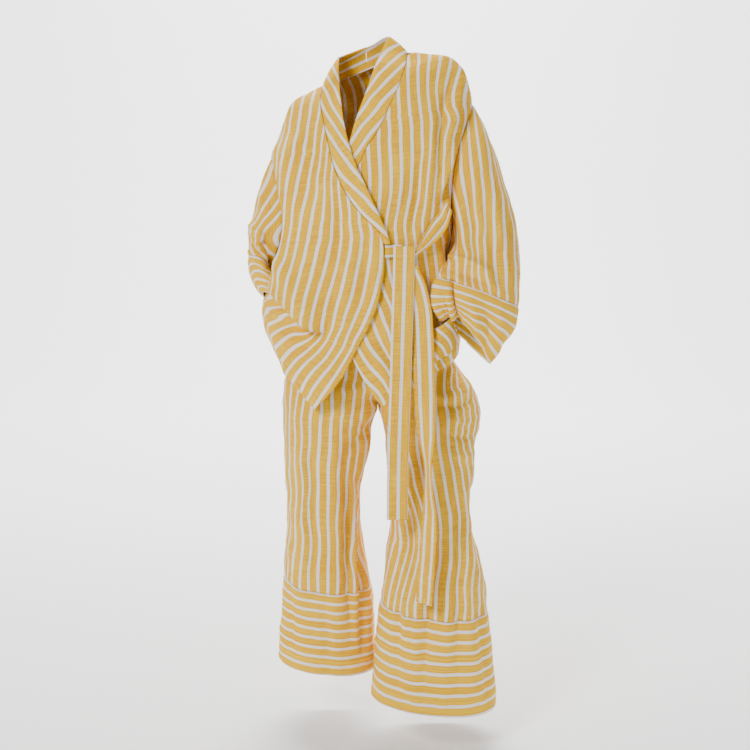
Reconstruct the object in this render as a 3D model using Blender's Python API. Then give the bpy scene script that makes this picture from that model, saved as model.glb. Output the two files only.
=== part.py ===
"""A striped wrap jacket and wide-leg trousers, standing as they are worn.

Metres, +Z up. The front of the garment looks along -Y, so +X is the wearer's left side.
The origin is the middle of the shoulder line, inside the neck opening.
"""

import math

import bpy
import numpy as np

# Driving sizes of the cloth
WALL = 0.0016
BAND_WALL = 0.0024
SEAM_GAP = 0.0005
ARMHOLE_GAP = 0.0016
LAYER = 0.007
TURN = 0.035
TIE_WIDTH = 0.042
TIE_WALL = 0.0020
WAISTBAND_HEIGHT = 0.040

YELLOW = (0.78, 0.46, 0.045, 1.0)
PALE_YELLOW = (0.84, 0.55, 0.12, 1.0)
LINEN_ROUGHNESS = 0.85


def table(columns, rows):
    """A short table as one array for each named column."""
    return dict(zip(columns.split(), np.array(rows, float).T))


# The jacket's body from the neck down: each row is a tilted loop through a left and a right
# point, with the bulge to the front and to the back, how square the loop is, and how steeply
# each front hangs down towards its own edge.
BODY = table(
    "left_x left_z right_x right_z front back square drop_right drop_left",
    [
        (-0.086, -0.030, 0.084, 0.034, 0.012, 0.076, 1.60, 0.00, 0.00),
        (-0.115, -0.044, 0.125, 0.031, 0.050, 0.088, 1.50, 0.00, 0.00),
        (-0.142, -0.059, 0.161, 0.027, 0.078, 0.094, 1.55, 0.00, 0.00),
        (-0.157, -0.077, 0.187, 0.008, 0.096, 0.100, 1.65, 0.00, 0.00),
        (-0.168, -0.102, 0.203, -0.026, 0.110, 0.106, 1.75, 0.00, 0.00),
        (-0.180, -0.136, 0.211, -0.066, 0.122, 0.112, 1.90, 0.00, 0.00),
        (-0.194, -0.176, 0.205, -0.114, 0.136, 0.118, 2.00, 0.00, 0.00),
        (-0.192, -0.225, 0.199, -0.166, 0.146, 0.122, 2.10, 0.00, 0.00),
        (-0.190, -0.280, 0.191, -0.222, 0.150, 0.122, 2.15, 0.00, 0.00),
        (-0.193, -0.332, 0.182, -0.275, 0.150, 0.120, 2.15, 0.00, 0.00),
        (-0.199, -0.376, 0.175, -0.322, 0.148, 0.118, 2.15, 0.00, 0.00),
        (-0.205, -0.412, 0.173, -0.362, 0.148, 0.122, 2.15, 0.02, 0.02),
        (-0.211, -0.448, 0.179, -0.404, 0.152, 0.132, 2.15, 0.09, 0.06),
        (-0.215, -0.484, 0.186, -0.444, 0.158, 0.142, 2.15, 0.24, 0.14),
        (-0.209, -0.524, 0.191, -0.484, 0.168, 0.150, 2.15, 0.48, 0.25),
        (-0.194, -0.564, 0.193, -0.524, 0.176, 0.158, 2.15, 0.74, 0.36),
        (-0.177, -0.600, 0.190, -0.560, 0.182, 0.164, 2.15, 1.00, 0.46),
    ],
)
LAST_ROW = len(BODY["front"]) - 1

# Seam between the wearer's right front and its collar, then its free edge down to the tip
RIGHT_EDGE = table(
    "z x",
    [
        (-0.661, -0.100), (-0.620, -0.064), (-0.584, -0.040), (-0.540, -0.018), (-0.498, 0.004),
        (-0.454, 0.022), (-0.418, 0.030), (-0.377, 0.036), (-0.351, 0.036), (-0.318, 0.031),
        (-0.282, -0.004), (-0.244, -0.034), (-0.207, -0.054), (-0.154, -0.071), (-0.101, -0.083),
        (-0.060, -0.091), (-0.030, -0.087),
    ],
)

# The same line on the wearer's left front, which runs on under the right one
LEFT_EDGE = table(
    "z x",
    [
        (-0.650, 0.031), (-0.626, 0.012), (-0.563, -0.024), (-0.480, -0.062), (-0.420, -0.092),
        (-0.380, -0.108), (-0.335, -0.105), (-0.282, -0.070), (-0.232, -0.040), (-0.183, -0.014),
        (-0.146, 0.004), (-0.117, 0.024), (-0.072, 0.046), (-0.020, 0.069), (0.024, 0.082),
        (0.034, 0.083),
    ],
)

# Collar bands on the chest: the free edge beside each height of the seam
RIGHT_COLLAR = table(
    "seam_z free_x free_z",
    [
        (-0.332, 0.047, -0.332), (-0.310, 0.040, -0.308), (-0.282, 0.022, -0.268),
        (-0.244, 0.001, -0.222), (-0.207, -0.018, -0.183), (-0.154, -0.036, -0.128),
        (-0.101, -0.047, -0.076), (-0.060, -0.053, -0.024), (-0.030, -0.055, 0.030),
    ],
)
LEFT_COLLAR = table(
    "seam_z free_x free_z",
    [
        (-0.318, -0.110, -0.300), (-0.282, -0.090, -0.262), (-0.232, -0.062, -0.202),
        (-0.183, -0.032, -0.140), (-0.146, -0.022, -0.105), (-0.117, -0.012, -0.076),
        (-0.072, 0.002, -0.040), (-0.020, 0.016, 0.000), (0.024, 0.033, 0.040),
        (0.034, 0.044, 0.068),
    ],
)
COLLAR_BACK_RISE = 0.048
COLLAR_BACK_LEAN = 0.014
COLLAR_SEAM_SHARE = 0.07

# Sleeves from the armhole seam down to the hem of the cuff: each loop's outer and inner point,
# half its depth, how far its front tips up, and how far the front arches over the wrist
SLEEVE = "out_x out_y out_z in_x in_y in_z half tip arch"
LEFT_SLEEVE = table(
    SLEEVE,
    [
        (0.236, -0.030, -0.108, 0.190, -0.040, -0.334, 0.094, 0.00, 0.000),
        (0.263, -0.040, -0.178, 0.192, -0.058, -0.347, 0.093, 0.00, 0.000),
        (0.287, -0.052, -0.256, 0.188, -0.078, -0.360, 0.088, 0.05, 0.000),
        (0.303, -0.064, -0.333, 0.178, -0.098, -0.374, 0.082, 0.10, 0.000),
        (0.310, -0.080, -0.403, 0.160, -0.120, -0.388, 0.072, 0.15, 0.000),
        (0.305, -0.098, -0.466, 0.144, -0.140, -0.404, 0.050, 0.20, 0.000),
        (0.294, -0.104, -0.504, 0.140, -0.146, -0.436, 0.042, 0.22, 0.008),
        (0.272, -0.106, -0.542, 0.146, -0.148, -0.460, 0.034, 0.24, 0.018),
        (0.246, -0.104, -0.578, 0.156, -0.144, -0.480, 0.026, 0.26, 0.024),
    ],
)
RIGHT_SLEEVE = table(
    SLEEVE,
    [
        (-0.214, 0.040, -0.222, -0.212, 0.045, -0.396, 0.084, 0.05, 0.000),
        (-0.228, 0.044, -0.276, -0.217, 0.050, -0.404, 0.086, 0.10, 0.000),
        (-0.243, 0.044, -0.330, -0.220, 0.046, -0.410, 0.084, 0.25, 0.000),
        (-0.249, 0.034, -0.372, -0.222, 0.036, -0.418, 0.080, 0.45, 0.000),
        (-0.249, 0.016, -0.402, -0.223, 0.016, -0.428, 0.072, 0.60, 0.000),
        (-0.246, -0.008, -0.430, -0.224, -0.012, -0.450, 0.064, 0.60, 0.000),
        (-0.240, -0.030, -0.454, -0.223, -0.036, -0.470, 0.056, 0.55, 0.000),
        (-0.234, -0.048, -0.474, -0.220, -0.054, -0.486, 0.046, 0.50, 0.000),
    ],
)
LEFT_CUFF_ROW = 5
RIGHT_CUFF_ROW = 4
CUFF_GATHERS = 9
LEFT_GATHER = 0.005
RIGHT_GATHER = 0.002
CLEAR_OF_BODY = 0.012

# Trouser legs: outer and inner outline, and the depth from a middle line
LEG = "z outer inner middle front back"
RIGHT_LEG = table(
    LEG,
    [
        (-1.258, -0.187, 0.017, 0.028, 0.100, 0.106),
        (-1.126, -0.181, 0.012, 0.026, 0.100, 0.106),
        (-1.075, -0.178, 0.006, 0.024, 0.100, 0.106),
        (-1.000, -0.174, -0.006, 0.020, 0.101, 0.107),
        (-0.946, -0.170, -0.014, 0.016, 0.103, 0.108),
        (-0.880, -0.171, -0.015, 0.010, 0.106, 0.110),
        (-0.785, -0.172, 0.000, 0.002, 0.112, 0.116),
        (-0.715, -0.173, 0.014, -0.004, 0.118, 0.122),
        (-0.683, -0.173, 0.022, -0.004, 0.116, 0.123),
        (-0.640, -0.170, 0.023, -0.002, 0.112, 0.124),
        (-0.600, -0.158, 0.022, -0.002, 0.111, 0.124),
        (-0.540, -0.152, 0.019, -0.003, 0.109, 0.115),
        (-0.480, -0.146, 0.015, -0.004, 0.105, 0.102),
        (-0.400, -0.132, 0.010, -0.006, 0.100, 0.086),
    ],
)
LEFT_LEG = table(
    LEG,
    [
        (-1.304, 0.274, 0.011, -0.070, 0.106, 0.112),
        (-1.154, 0.259, 0.026, -0.068, 0.104, 0.110),
        (-1.100, 0.253, 0.031, -0.066, 0.104, 0.110),
        (-1.040, 0.245, 0.038, -0.062, 0.103, 0.110),
        (-0.992, 0.235, 0.043, -0.058, 0.102, 0.110),
        (-0.930, 0.218, 0.052, -0.052, 0.102, 0.110),
        (-0.880, 0.214, 0.053, -0.046, 0.104, 0.112),
        (-0.825, 0.222, 0.048, -0.036, 0.108, 0.116),
        (-0.772, 0.225, 0.042, -0.026, 0.112, 0.120),
        (-0.700, 0.233, 0.031, -0.012, 0.118, 0.125),
        (-0.683, 0.231, 0.025, -0.007, 0.117, 0.124),
        (-0.640, 0.214, 0.024, -0.002, 0.112, 0.124),
        (-0.600, 0.184, 0.023, -0.002, 0.111, 0.124),
        (-0.540, 0.168, 0.020, -0.003, 0.109, 0.115),
        (-0.480, 0.156, 0.016, -0.004, 0.105, 0.102),
        (-0.400, 0.142, 0.011, -0.006, 0.100, 0.086),
    ],
)
WAIST_Z = -0.400
CROTCH_Z = -0.683
CROTCH_FRONT_Z = -0.610
CROTCH_BACK_Z = -0.570
RIGHT_BAND_Z = -1.075
LEFT_BAND_Z = -1.100
LEG_TILT = -0.09
LEG_SQUARE = 2.25

# Largest folds, drawn as ridges and troughs between two points of the front view
FOLD_FADE = 0.18
FOLD = "x0 z0 x1 z1 width height"
RIGHT_FRONT_FOLDS = table(
    FOLD,
    [
        (-0.130, -0.230, -0.165, -0.400, 0.020, 0.006),
        (-0.060, -0.300, -0.120, -0.450, 0.022, 0.006),
        (-0.010, -0.400, -0.100, -0.600, 0.020, 0.006),
    ],
)
LEFT_FRONT_FOLDS = table(
    FOLD,
    [
        (0.150, -0.180, 0.158, -0.290, 0.012, 0.010),
        (0.060, -0.150, 0.070, -0.300, 0.018, -0.006),
        (0.110, -0.200, 0.112, -0.300, 0.016, 0.005),
    ],
)
SLEEVE_FOLDS = table(
    FOLD,
    [
        (0.222, -0.150, 0.236, -0.400, 0.014, 0.008),
        (0.262, -0.200, 0.274, -0.430, 0.013, -0.007),
        (0.196, -0.300, 0.262, -0.430, 0.012, 0.008),
        (0.292, -0.300, 0.292, -0.440, 0.012, 0.006),
    ],
)
BACK_FOLDS = table(
    FOLD,
    [
        (-0.090, -0.150, -0.110, -0.520, 0.026, 0.009),
        (0.020, -0.200, 0.010, -0.560, 0.028, -0.008),
        (0.110, -0.150, 0.120, -0.500, 0.026, 0.009),
    ],
)
RIGHT_LEG_FOLDS = table(
    FOLD,
    [
        (-0.110, -0.620, -0.120, -1.060, 0.018, 0.008),
        (-0.050, -0.640, -0.060, -1.060, 0.020, -0.008),
        (0.000, -0.700, -0.030, -1.040, 0.014, 0.008),
        (-0.120, -1.080, -0.125, -1.240, 0.014, 0.006),
    ],
)
LEFT_LEG_FOLDS = table(
    FOLD,
    [
        (0.090, -0.640, 0.110, -1.040, 0.018, 0.008),
        (0.150, -0.600, 0.170, -0.900, 0.018, -0.008),
        (0.200, -0.640, 0.195, -0.860, 0.014, 0.008),
        (0.180, -0.900, 0.190, -1.080, 0.018, 0.007),
    ],
)

# Blouse of the right front where it hangs over the hand pocket
BLOUSE = table("x z", [(-0.209, -0.452), (-0.176, -0.462), (-0.137, -0.488), (-0.090, -0.520)])
BLOUSE_OUT = 0.020
BLOUSE_RISE = 0.060
BLOUSE_STEP = 0.022

# Armholes: rows of the body where they start and end, and how far they cut into each panel
RIGHT_ARMHOLE = (6.0, 11.2)
LEFT_ARMHOLE = (5.0, 10.2)
ARMHOLE_FRONT = math.radians(29)
ARMHOLE_BACK = math.radians(34)
ARMHOLE_STEPS = 11
FRONT_START = 0.5

# Hand pocket on the left front, between four points of the front view
POCKET_MOUTH_OUT = (0.180, -0.498)
POCKET_MOUTH_IN = (0.128, -0.516)
POCKET_HEM_OUT = (0.178, -0.546)
POCKET_HEM_IN = (0.128, -0.580)
POCKET_STAND_OFF = 0.0022
POCKET_BULGE = 0.036

# Tie: the stub on the right front, the side strip, and two hanging ends
STUB_HEIGHT = 0.024
STUB = table(
    "x y",
    [(0.0375, -0.1640), (0.044, -0.1630), (0.049, -0.1600), (0.053, -0.1577), (0.070, -0.1577)],
)
STUB_Z = -0.3465
SIDE_STRIP = table(
    "x y z half_x half_z",
    [
        (0.086, -0.1577, -0.357, 0.004, -0.013),
        (0.098, -0.1560, -0.348, 0.006, -0.014),
        (0.114, -0.1505, -0.334, 0.008, -0.017),
        (0.134, -0.1425, -0.312, 0.009, -0.019),
        (0.150, -0.1365, -0.290, 0.007, -0.020),
    ],
)
HANGING = "z x turn y"
FRONT_END = table(
    HANGING,
    [
        (-0.880, 0.062, 0.05, -0.191),
        (-0.760, 0.063, -0.08, -0.193),
        (-0.660, 0.066, 0.05, -0.193),
        (-0.600, 0.068, 0.04, -0.189),
        (-0.520, 0.070, -0.04, -0.179),
        (-0.420, 0.073, 0.03, -0.1675),
        (-0.337, 0.075, 0.00, -0.1600),
    ],
)
BACK_END = table(
    HANGING,
    [
        (-1.053, 0.118, 0.20, -0.190),
        (-0.960, 0.124, -0.15, -0.188),
        (-0.870, 0.126, 0.35, -0.186),
        (-0.769, 0.122, 1.25, -0.186),
        (-0.690, 0.118, 0.55, -0.189),
        (-0.600, 0.115, 0.10, -0.184),
        (-0.480, 0.110, 0.10, -0.167),
        (-0.420, 0.099, 0.02, -0.1625),
        (-0.373, 0.079, 0.00, -0.1604),
    ],
)


def smooth(x, keys, values):
    """A curve through values at rising keys, with no overshoot between them."""
    keys, values = np.asarray(keys, float), np.asarray(values, float)
    x = np.clip(x, keys[0], keys[-1])
    steps = np.diff(keys)
    slopes = np.diff(values) / steps
    same_way = slopes[:-1] * slopes[1:] > 0
    total = np.where(same_way, slopes[:-1] + slopes[1:], 1.0)
    inner = np.where(same_way, 2 * slopes[:-1] * slopes[1:] / total, 0.0)
    tangents = np.concatenate([slopes[:1], inner, slopes[-1:]])
    i = np.clip(np.searchsorted(keys, x, side="right") - 1, 0, len(steps) - 1)
    s = (x - keys[i]) / steps[i]
    rise = values[i + 1] - values[i]
    start, end = tangents[i] * steps[i], tangents[i + 1] * steps[i]
    return values[i] + s * start + s**2 * (3 * rise - 2 * start - end) + s**3 * (start + end - 2 * rise)


def down_rows(source, column, t):
    return smooth(t, np.arange(len(source[column])), source[column])


def by_height(source, column, z):
    return smooth(z, source["z"], source[column])


def ease(x):
    x = np.clip(x, 0.0, 1.0)
    return x * x * (3 - 2 * x)


def body(t, angle, drop=None, lift=0.0):
    """Points of the jacket's body loop t rows down. The angle runs from the wearer's left side
    over the front, at a quarter turn, to the right side and round the back."""
    t, angle = np.broadcast_arrays(np.asarray(t, float), np.asarray(angle, float))
    left, right = down_rows(BODY, "left_x", t), down_rows(BODY, "right_x", t)
    power = 2 / down_rows(BODY, "square", t)
    across = np.sign(np.cos(angle)) * np.abs(np.cos(angle)) ** power
    deep = np.abs(np.sin(angle)) ** power
    in_front = np.sin(angle) > 0
    front, back = down_rows(BODY, "front", t), down_rows(BODY, "back", t)
    x = (left + right) / 2 + (right - left) / 2 * across
    y = -TURN * across + deep * np.where(in_front, -front - lift, back + lift)
    share = (across + 1) / 2
    z = down_rows(BODY, "left_z", t) * (1 - share) + down_rows(BODY, "right_z", t) * share
    if drop == "drop_right":
        z = z - down_rows(BODY, drop, t) * (x - left)
    if drop == "drop_left":
        z = z - down_rows(BODY, drop, t) * (right - x)
    return np.stack([x, y, z], axis=-1)


def angle_at_edge(t, edge, drop, lift):
    """The angle where the loop meets an edge line of the front view."""
    low, high = np.full(np.shape(t), 1e-4), np.full(np.shape(t), math.pi - 1e-4)
    for _ in range(40):
        middle = (low + high) / 2
        p = body(t, middle, drop, lift)
        right_of_edge = p[..., 0] > smooth(p[..., 2], edge["z"], edge["x"])
        low, high = np.where(right_of_edge, middle, low), np.where(right_of_edge, high, middle)
    return (low + high) / 2


def on_front(x, z, drop, lift):
    """Points on a front panel at places of the front view, moved out by lift."""
    x, z = np.broadcast_arrays(np.asarray(x, float), np.asarray(z, float))
    low, high = np.zeros(x.shape), np.full(x.shape, float(LAST_ROW))
    for _ in range(40):
        t = (low + high) / 2
        left, right = down_rows(BODY, "left_x", t), down_rows(BODY, "right_x", t)
        share = np.clip((x - (left + right) / 2) / ((right - left) / 2), -0.985, 0.985)
        angle = np.arccos(np.sign(share) * np.abs(share) ** (down_rows(BODY, "square", t) / 2))
        p = body(t, angle, drop, lift)
        above = p[..., 2] > z
        low, high = np.where(above, t, low), np.where(above, high, t)
    p[..., 2] = z
    return p


def armhole_angle(t, rows, reach):
    """How far an armhole cuts into a panel at row t."""
    s = np.clip((t - rows[0]) / (rows[1] - rows[0]), 0.0, 1.0)
    return reach * np.sin(math.pi * s) ** 0.8


def armhole_rows(rows):
    """The rows that a panel and its sleeve share along an armhole, closer at its ends."""
    turn = np.linspace(0.0, math.pi, ARMHOLE_STEPS + 1)
    return rows[0] + (rows[1] - rows[0]) * (1 - np.cos(turn)) / 2


def normals_of(grid, closed):
    """Unit normals of a grid of points, averaged from its quads; a closed grid runs round on
    itself across its columns."""
    ring = np.concatenate([grid, grid[:, :1]], axis=1) if closed else grid
    one, two = ring[1:, 1:] - ring[:-1, :-1], ring[1:, :-1] - ring[:-1, 1:]
    quads = np.cross(one, two)
    quads /= np.maximum(np.linalg.norm(quads, axis=-1, keepdims=True), 1e-12)
    total = np.zeros(ring.shape)
    for rows in (slice(None, -1), slice(1, None)):
        for columns in (slice(None, -1), slice(1, None)):
            total[rows, columns] += quads
    if closed:
        total[:, 0] += total[:, -1]
        total = total[:, :-1]
    return total / np.maximum(np.linalg.norm(total, axis=-1, keepdims=True), 1e-12)


def facing(grid, normals, centre):
    """The normals turned away from a centre line."""
    outward = ((grid - centre) * normals).sum()
    return normals if outward > 0 else -normals


def between_seams(share):
    """Zero at both ends of a panel and one between, so that its folds leave its seams in place."""
    return ease(share / FOLD_FADE) * ease((1 - share) / FOLD_FADE)


def folded(grid, normals, folds, side, fade=1.0):
    """Ridges and troughs along segments of the front view, on the side that faces that way."""
    height = np.zeros(grid.shape[:2])
    for i in range(len(folds["x0"])):
        x0, z0, x1, z1, width, high = (folds[name][i] for name in FOLD.split())
        run, fall = x1 - x0, z1 - z0
        s = ((grid[..., 0] - x0) * run + (grid[..., 2] - z0) * fall) / (run**2 + fall**2)
        s = np.clip(s, 0.0, 1.0)
        away = np.hypot(grid[..., 0] - x0 - s * run, grid[..., 2] - z0 - s * fall)
        height += high * np.exp(-((away / width) ** 2))
    height = height * fade * ease(normals[..., 1] * side * 2)
    return grid + normals * height[..., None]


def pull_back(grid, gap, top=True, bottom=True, first=True, last=True):
    """The grid with the named edges drawn in, so that it stops short of its neighbours."""
    grid = grid.copy()

    def draw_in(edge, inner):
        way = inner - edge
        return edge + way * gap / np.maximum(np.linalg.norm(way, axis=-1, keepdims=True), 1e-9)

    if top:
        grid[0] = draw_in(grid[0], grid[1])
    if bottom:
        grid[-1] = draw_in(grid[-1], grid[-2])
    if first:
        grid[:, 0] = draw_in(grid[:, 0], grid[:, 1])
    if last:
        grid[:, -1] = draw_in(grid[:, -1], grid[:, -2])
    return grid


def cloth_material(name, colour):
    material = bpy.data.materials.new(name)
    material.use_nodes = True
    shader = material.node_tree.nodes["Principled BSDF"]
    shader.inputs["Base Color"].default_value = colour
    shader.inputs["Roughness"].default_value = LINEN_ROUGHNESS
    shader.inputs["Metallic"].default_value = 0.0
    return material


def cloth_wall(name, grid, normals, wall, colour, closed=False):
    """One closed solid: the grid thickened to both sides along its outward normals."""
    rows, columns = grid.shape[:2]
    outer, inner = grid + normals * wall / 2, grid - normals * wall / 2
    points = np.concatenate([outer.reshape(-1, 3), inner.reshape(-1, 3)])
    inner_start = rows * columns

    def at(row, column):
        return row * columns + column % columns

    faces = []
    last_column = columns if closed else columns - 1
    for row in range(rows - 1):
        for column in range(last_column):
            quad = (at(row, column), at(row + 1, column), at(row + 1, column + 1), at(row, column + 1))
            faces.append(quad)
            faces.append(tuple(inner_start + corner for corner in reversed(quad)))
    rim = [[at(0, c) for c in range(last_column + 1)]]
    rim.append([at(rows - 1, c) for c in reversed(range(last_column + 1))])
    if not closed:
        rim.append([at(r, 0) for r in reversed(range(rows))])
        rim.append([at(r, columns - 1) for r in range(rows)])
    for line in rim:
        for a, b in zip(line, line[1:]):
            faces.append((a, b, inner_start + b, inner_start + a))

    mesh = bpy.data.meshes.new(name)
    mesh.from_pydata(points.tolist(), [], faces)
    mesh.update()
    if signed_volume(mesh) < 0:
        mesh.flip_normals()
    mesh.shade_smooth()
    mesh.materials.append(cloth_material(name + "_cloth", colour))
    piece = bpy.data.objects.new(name, mesh)
    bpy.context.collection.objects.link(piece)
    return piece


def signed_volume(mesh):
    mesh.calc_loop_triangles()
    total = 0.0
    for triangle in mesh.loop_triangles:
        a, b, c = (mesh.vertices[i].co for i in triangle.vertices)
        total += a.dot(b.cross(c))
    return total / 6


def front_panel(name, armhole, edge, drop, lift, side_angle, folds, colour):
    """A jacket front from its side seam and armhole to its edge."""
    above = np.linspace(FRONT_START, armhole[0], 8)[:-1]
    below = np.linspace(armhole[1], LAST_ROW, 10)[1:]
    rows = np.concatenate([above, armhole_rows(armhole), below])
    t = np.repeat(rows[:, None], 11, axis=1)
    share = np.linspace(0.0, 1.0, 11)[None, :]
    cut = armhole_angle(rows, armhole, ARMHOLE_FRONT)
    start = np.abs(side_angle - cut)
    end = angle_at_edge(rows, edge, drop, lift)
    angle = start[:, None] * (1 - share) + end[:, None] * share
    grid = body(t, angle, drop, lift)
    normals = facing(grid, normals_of(grid, False), np.array([0.0, 0.05, -0.3]))
    grid = folded(grid, normals, folds, -1, between_seams(share))
    if drop == "drop_right":
        grid = bloused(grid)
    grid = pull_back(grid, SEAM_GAP)
    normals = facing(grid, normals_of(grid, False), np.array([0.0, 0.05, -0.3]))
    return cloth_wall(name, grid, normals, WALL, colour)


def bloused(grid):
    """Lets the right front hang out over the hand pocket."""
    x, z = grid[..., 0], grid[..., 2]
    above = z - smooth(x, BLOUSE["x"], BLOUSE["z"])
    out = np.where(above > 0, np.exp(-above / BLOUSE_RISE), ease(1 + above / BLOUSE_STEP))
    reach = ease((x + 0.212) / 0.035) * ease((-0.070 - x) / 0.060)
    grid = grid.copy()
    grid[..., 1] -= BLOUSE_OUT * out * reach
    return grid


def back_panel(name, colour):
    """The jacket's back in one piece. Its rows shear so that each side meets its own armhole."""
    above = np.linspace(0.0, 1.0, 7)[:-1]
    below = np.linspace(0.0, 1.0, 10)[1:]

    def rows_at(armhole):
        lower = armhole[1] + (LAST_ROW - armhole[1]) * below
        return np.concatenate([armhole[0] * above, armhole_rows(armhole), lower])

    right_rows, left_rows = rows_at(RIGHT_ARMHOLE), rows_at(LEFT_ARMHOLE)
    share = np.linspace(0.0, 1.0, 15)[None, :]
    t = right_rows[:, None] * (1 - share) + left_rows[:, None] * share
    start = math.pi + armhole_angle(right_rows, RIGHT_ARMHOLE, ARMHOLE_BACK)
    end = 2 * math.pi - armhole_angle(left_rows, LEFT_ARMHOLE, ARMHOLE_BACK)
    angle = start[:, None] * (1 - share) + end[:, None] * share
    grid = body(t, angle)
    centre = np.array([0.0, -0.05, -0.3])
    normals = facing(grid, normals_of(grid, False), centre)
    grid = folded(grid, normals, BACK_FOLDS, 1, between_seams(share))
    grid = pull_back(grid, SEAM_GAP)
    normals = facing(grid, normals_of(grid, False), centre)
    return cloth_wall(name, grid, normals, WALL, colour)


def collar_band(name, edge, collar, drop, lift, side_angle, colour):
    """A collar band from the centre back round the neck and down its front's edge."""
    back_angles = np.linspace(1.5 * math.pi, 2 * math.pi - side_angle, 7)[:-1]
    seam_back = body(0.0, back_angles, lift=0.0)
    neck_rise = collar["free_z"][-1] - collar["seam_z"][-1]
    neck_lean = abs(collar["free_x"][-1] - edge["x"][-1])
    share = np.linspace(0.0, 1.0, 7)[:-1, None]
    inward = -seam_back * np.array([1.0, 1.0, 0.0])
    inward /= np.linalg.norm(inward, axis=1, keepdims=True)
    lean = COLLAR_BACK_LEAN + (neck_lean - COLLAR_BACK_LEAN) * share
    rise = COLLAR_BACK_RISE + (neck_rise - COLLAR_BACK_RISE) * share
    free_back = seam_back + inward * lean + np.array([0.0, 0.0, 1.0]) * rise

    seam_z = np.linspace(collar["seam_z"][-1], collar["seam_z"][0], 19)
    seam_x = smooth(seam_z, edge["z"], edge["x"])
    free_x = smooth(seam_z, collar["seam_z"], collar["free_x"])
    free_z = smooth(seam_z, collar["seam_z"], collar["free_z"])
    seam_front = on_front(seam_x, seam_z, drop, lift)
    below_neck = ease((collar["seam_z"][-1] - seam_z) / 0.10)
    on_chest = on_front(free_x, np.minimum(free_z, -0.010), drop, lift + 0.004)[:, 1]
    at_neck = seam_front[:, 1] * 0.5
    free_y = on_chest * below_neck + at_neck * (1 - below_neck)
    free_front = np.stack([free_x, free_y, free_z], axis=-1)

    seam, free = np.concatenate([seam_back, seam_front]), np.concatenate([free_back, free_front])
    share = np.linspace(0.0, 1.0, 4)[None, :, None]
    grid = seam[:, None] * (1 - share) + free[:, None] * share
    grid[:, 1:3, :] += np.array([0.0, 0.0, 0.003])
    grid = pull_back(grid, SEAM_GAP)
    grid[:, 0] += (grid[:, 1] - grid[:, 0]) * COLLAR_SEAM_SHARE
    grid[0] += (grid[1] - grid[0]) * COLLAR_SEAM_SHARE
    normals = facing(grid, normals_of(grid, False), np.array([0.0, 0.0, -0.1]))
    return cloth_wall(name, grid, normals, BAND_WALL, colour)


def loop_points(source, t, angle):
    """Points of a sleeve loop t rows down: the angle starts at the outer point and turns forward."""
    outer = np.stack([down_rows(source, "out_" + axis, t) for axis in "xyz"], axis=-1)
    inner = np.stack([down_rows(source, "in_" + axis, t) for axis in "xyz"], axis=-1)
    centre, reach = (outer + inner) / 2, (outer - inner) / 2
    tip = down_rows(source, "tip", t)
    forward = np.stack([np.zeros(tip.shape), -np.cos(tip), np.sin(tip)], axis=-1)
    half = down_rows(source, "half", t)[..., None]
    points = centre + reach * np.cos(angle)[..., None] + forward * half * np.sin(angle)[..., None]
    points[..., 2] += down_rows(source, "arch", t) * np.maximum(np.sin(angle), 0.0) ** 2
    return points


def clear_of_body(points, margin):
    """Points that lie inside the jacket's body, moved out sideways until they are clear of it."""
    z = points[..., 2]
    low, high = np.zeros(z.shape), np.full(z.shape, float(LAST_ROW))
    for _ in range(30):
        t = (low + high) / 2
        left, right = down_rows(BODY, "left_x", t), down_rows(BODY, "right_x", t)
        share = np.clip((points[..., 0] - left) / (right - left), 0.0, 1.0)
        level = down_rows(BODY, "left_z", t) * (1 - share) + down_rows(BODY, "right_z", t) * share
        low, high = np.where(level > z, t, low), np.where(level > z, high, t)
    centre, half = (left + right) / 2, (right - left) / 2 + margin
    across = (points[..., 0] - centre) / half
    y = points[..., 1] + TURN * across
    deep = np.where(y < 0, down_rows(BODY, "front", t), down_rows(BODY, "back", t)) + margin
    power = down_rows(BODY, "square", t)
    inside = (np.abs(across) ** power + np.abs(y / deep) ** power) ** (1 / power)
    grow = np.where(inside < 1, 1 / np.maximum(inside, 0.2), 1.0)
    moved = points.copy()
    moved[..., 0] = centre + (points[..., 0] - centre) * grow
    moved[..., 1] = y * grow - TURN * across * grow
    return moved


def armhole_loop(rows, side_angle):
    """The armhole seam as a loop: top, down the front, underarm, up the back."""
    down = armhole_rows(rows)
    t = np.concatenate([down[:-1], down[::-1][:-1]])
    front = np.arange(len(t)) <= ARMHOLE_STEPS
    cut = np.where(
        front, armhole_angle(t, rows, ARMHOLE_FRONT), -armhole_angle(t, rows, ARMHOLE_BACK)
    )
    return body(t, cut if side_angle == 0.0 else side_angle - cut)


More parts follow.
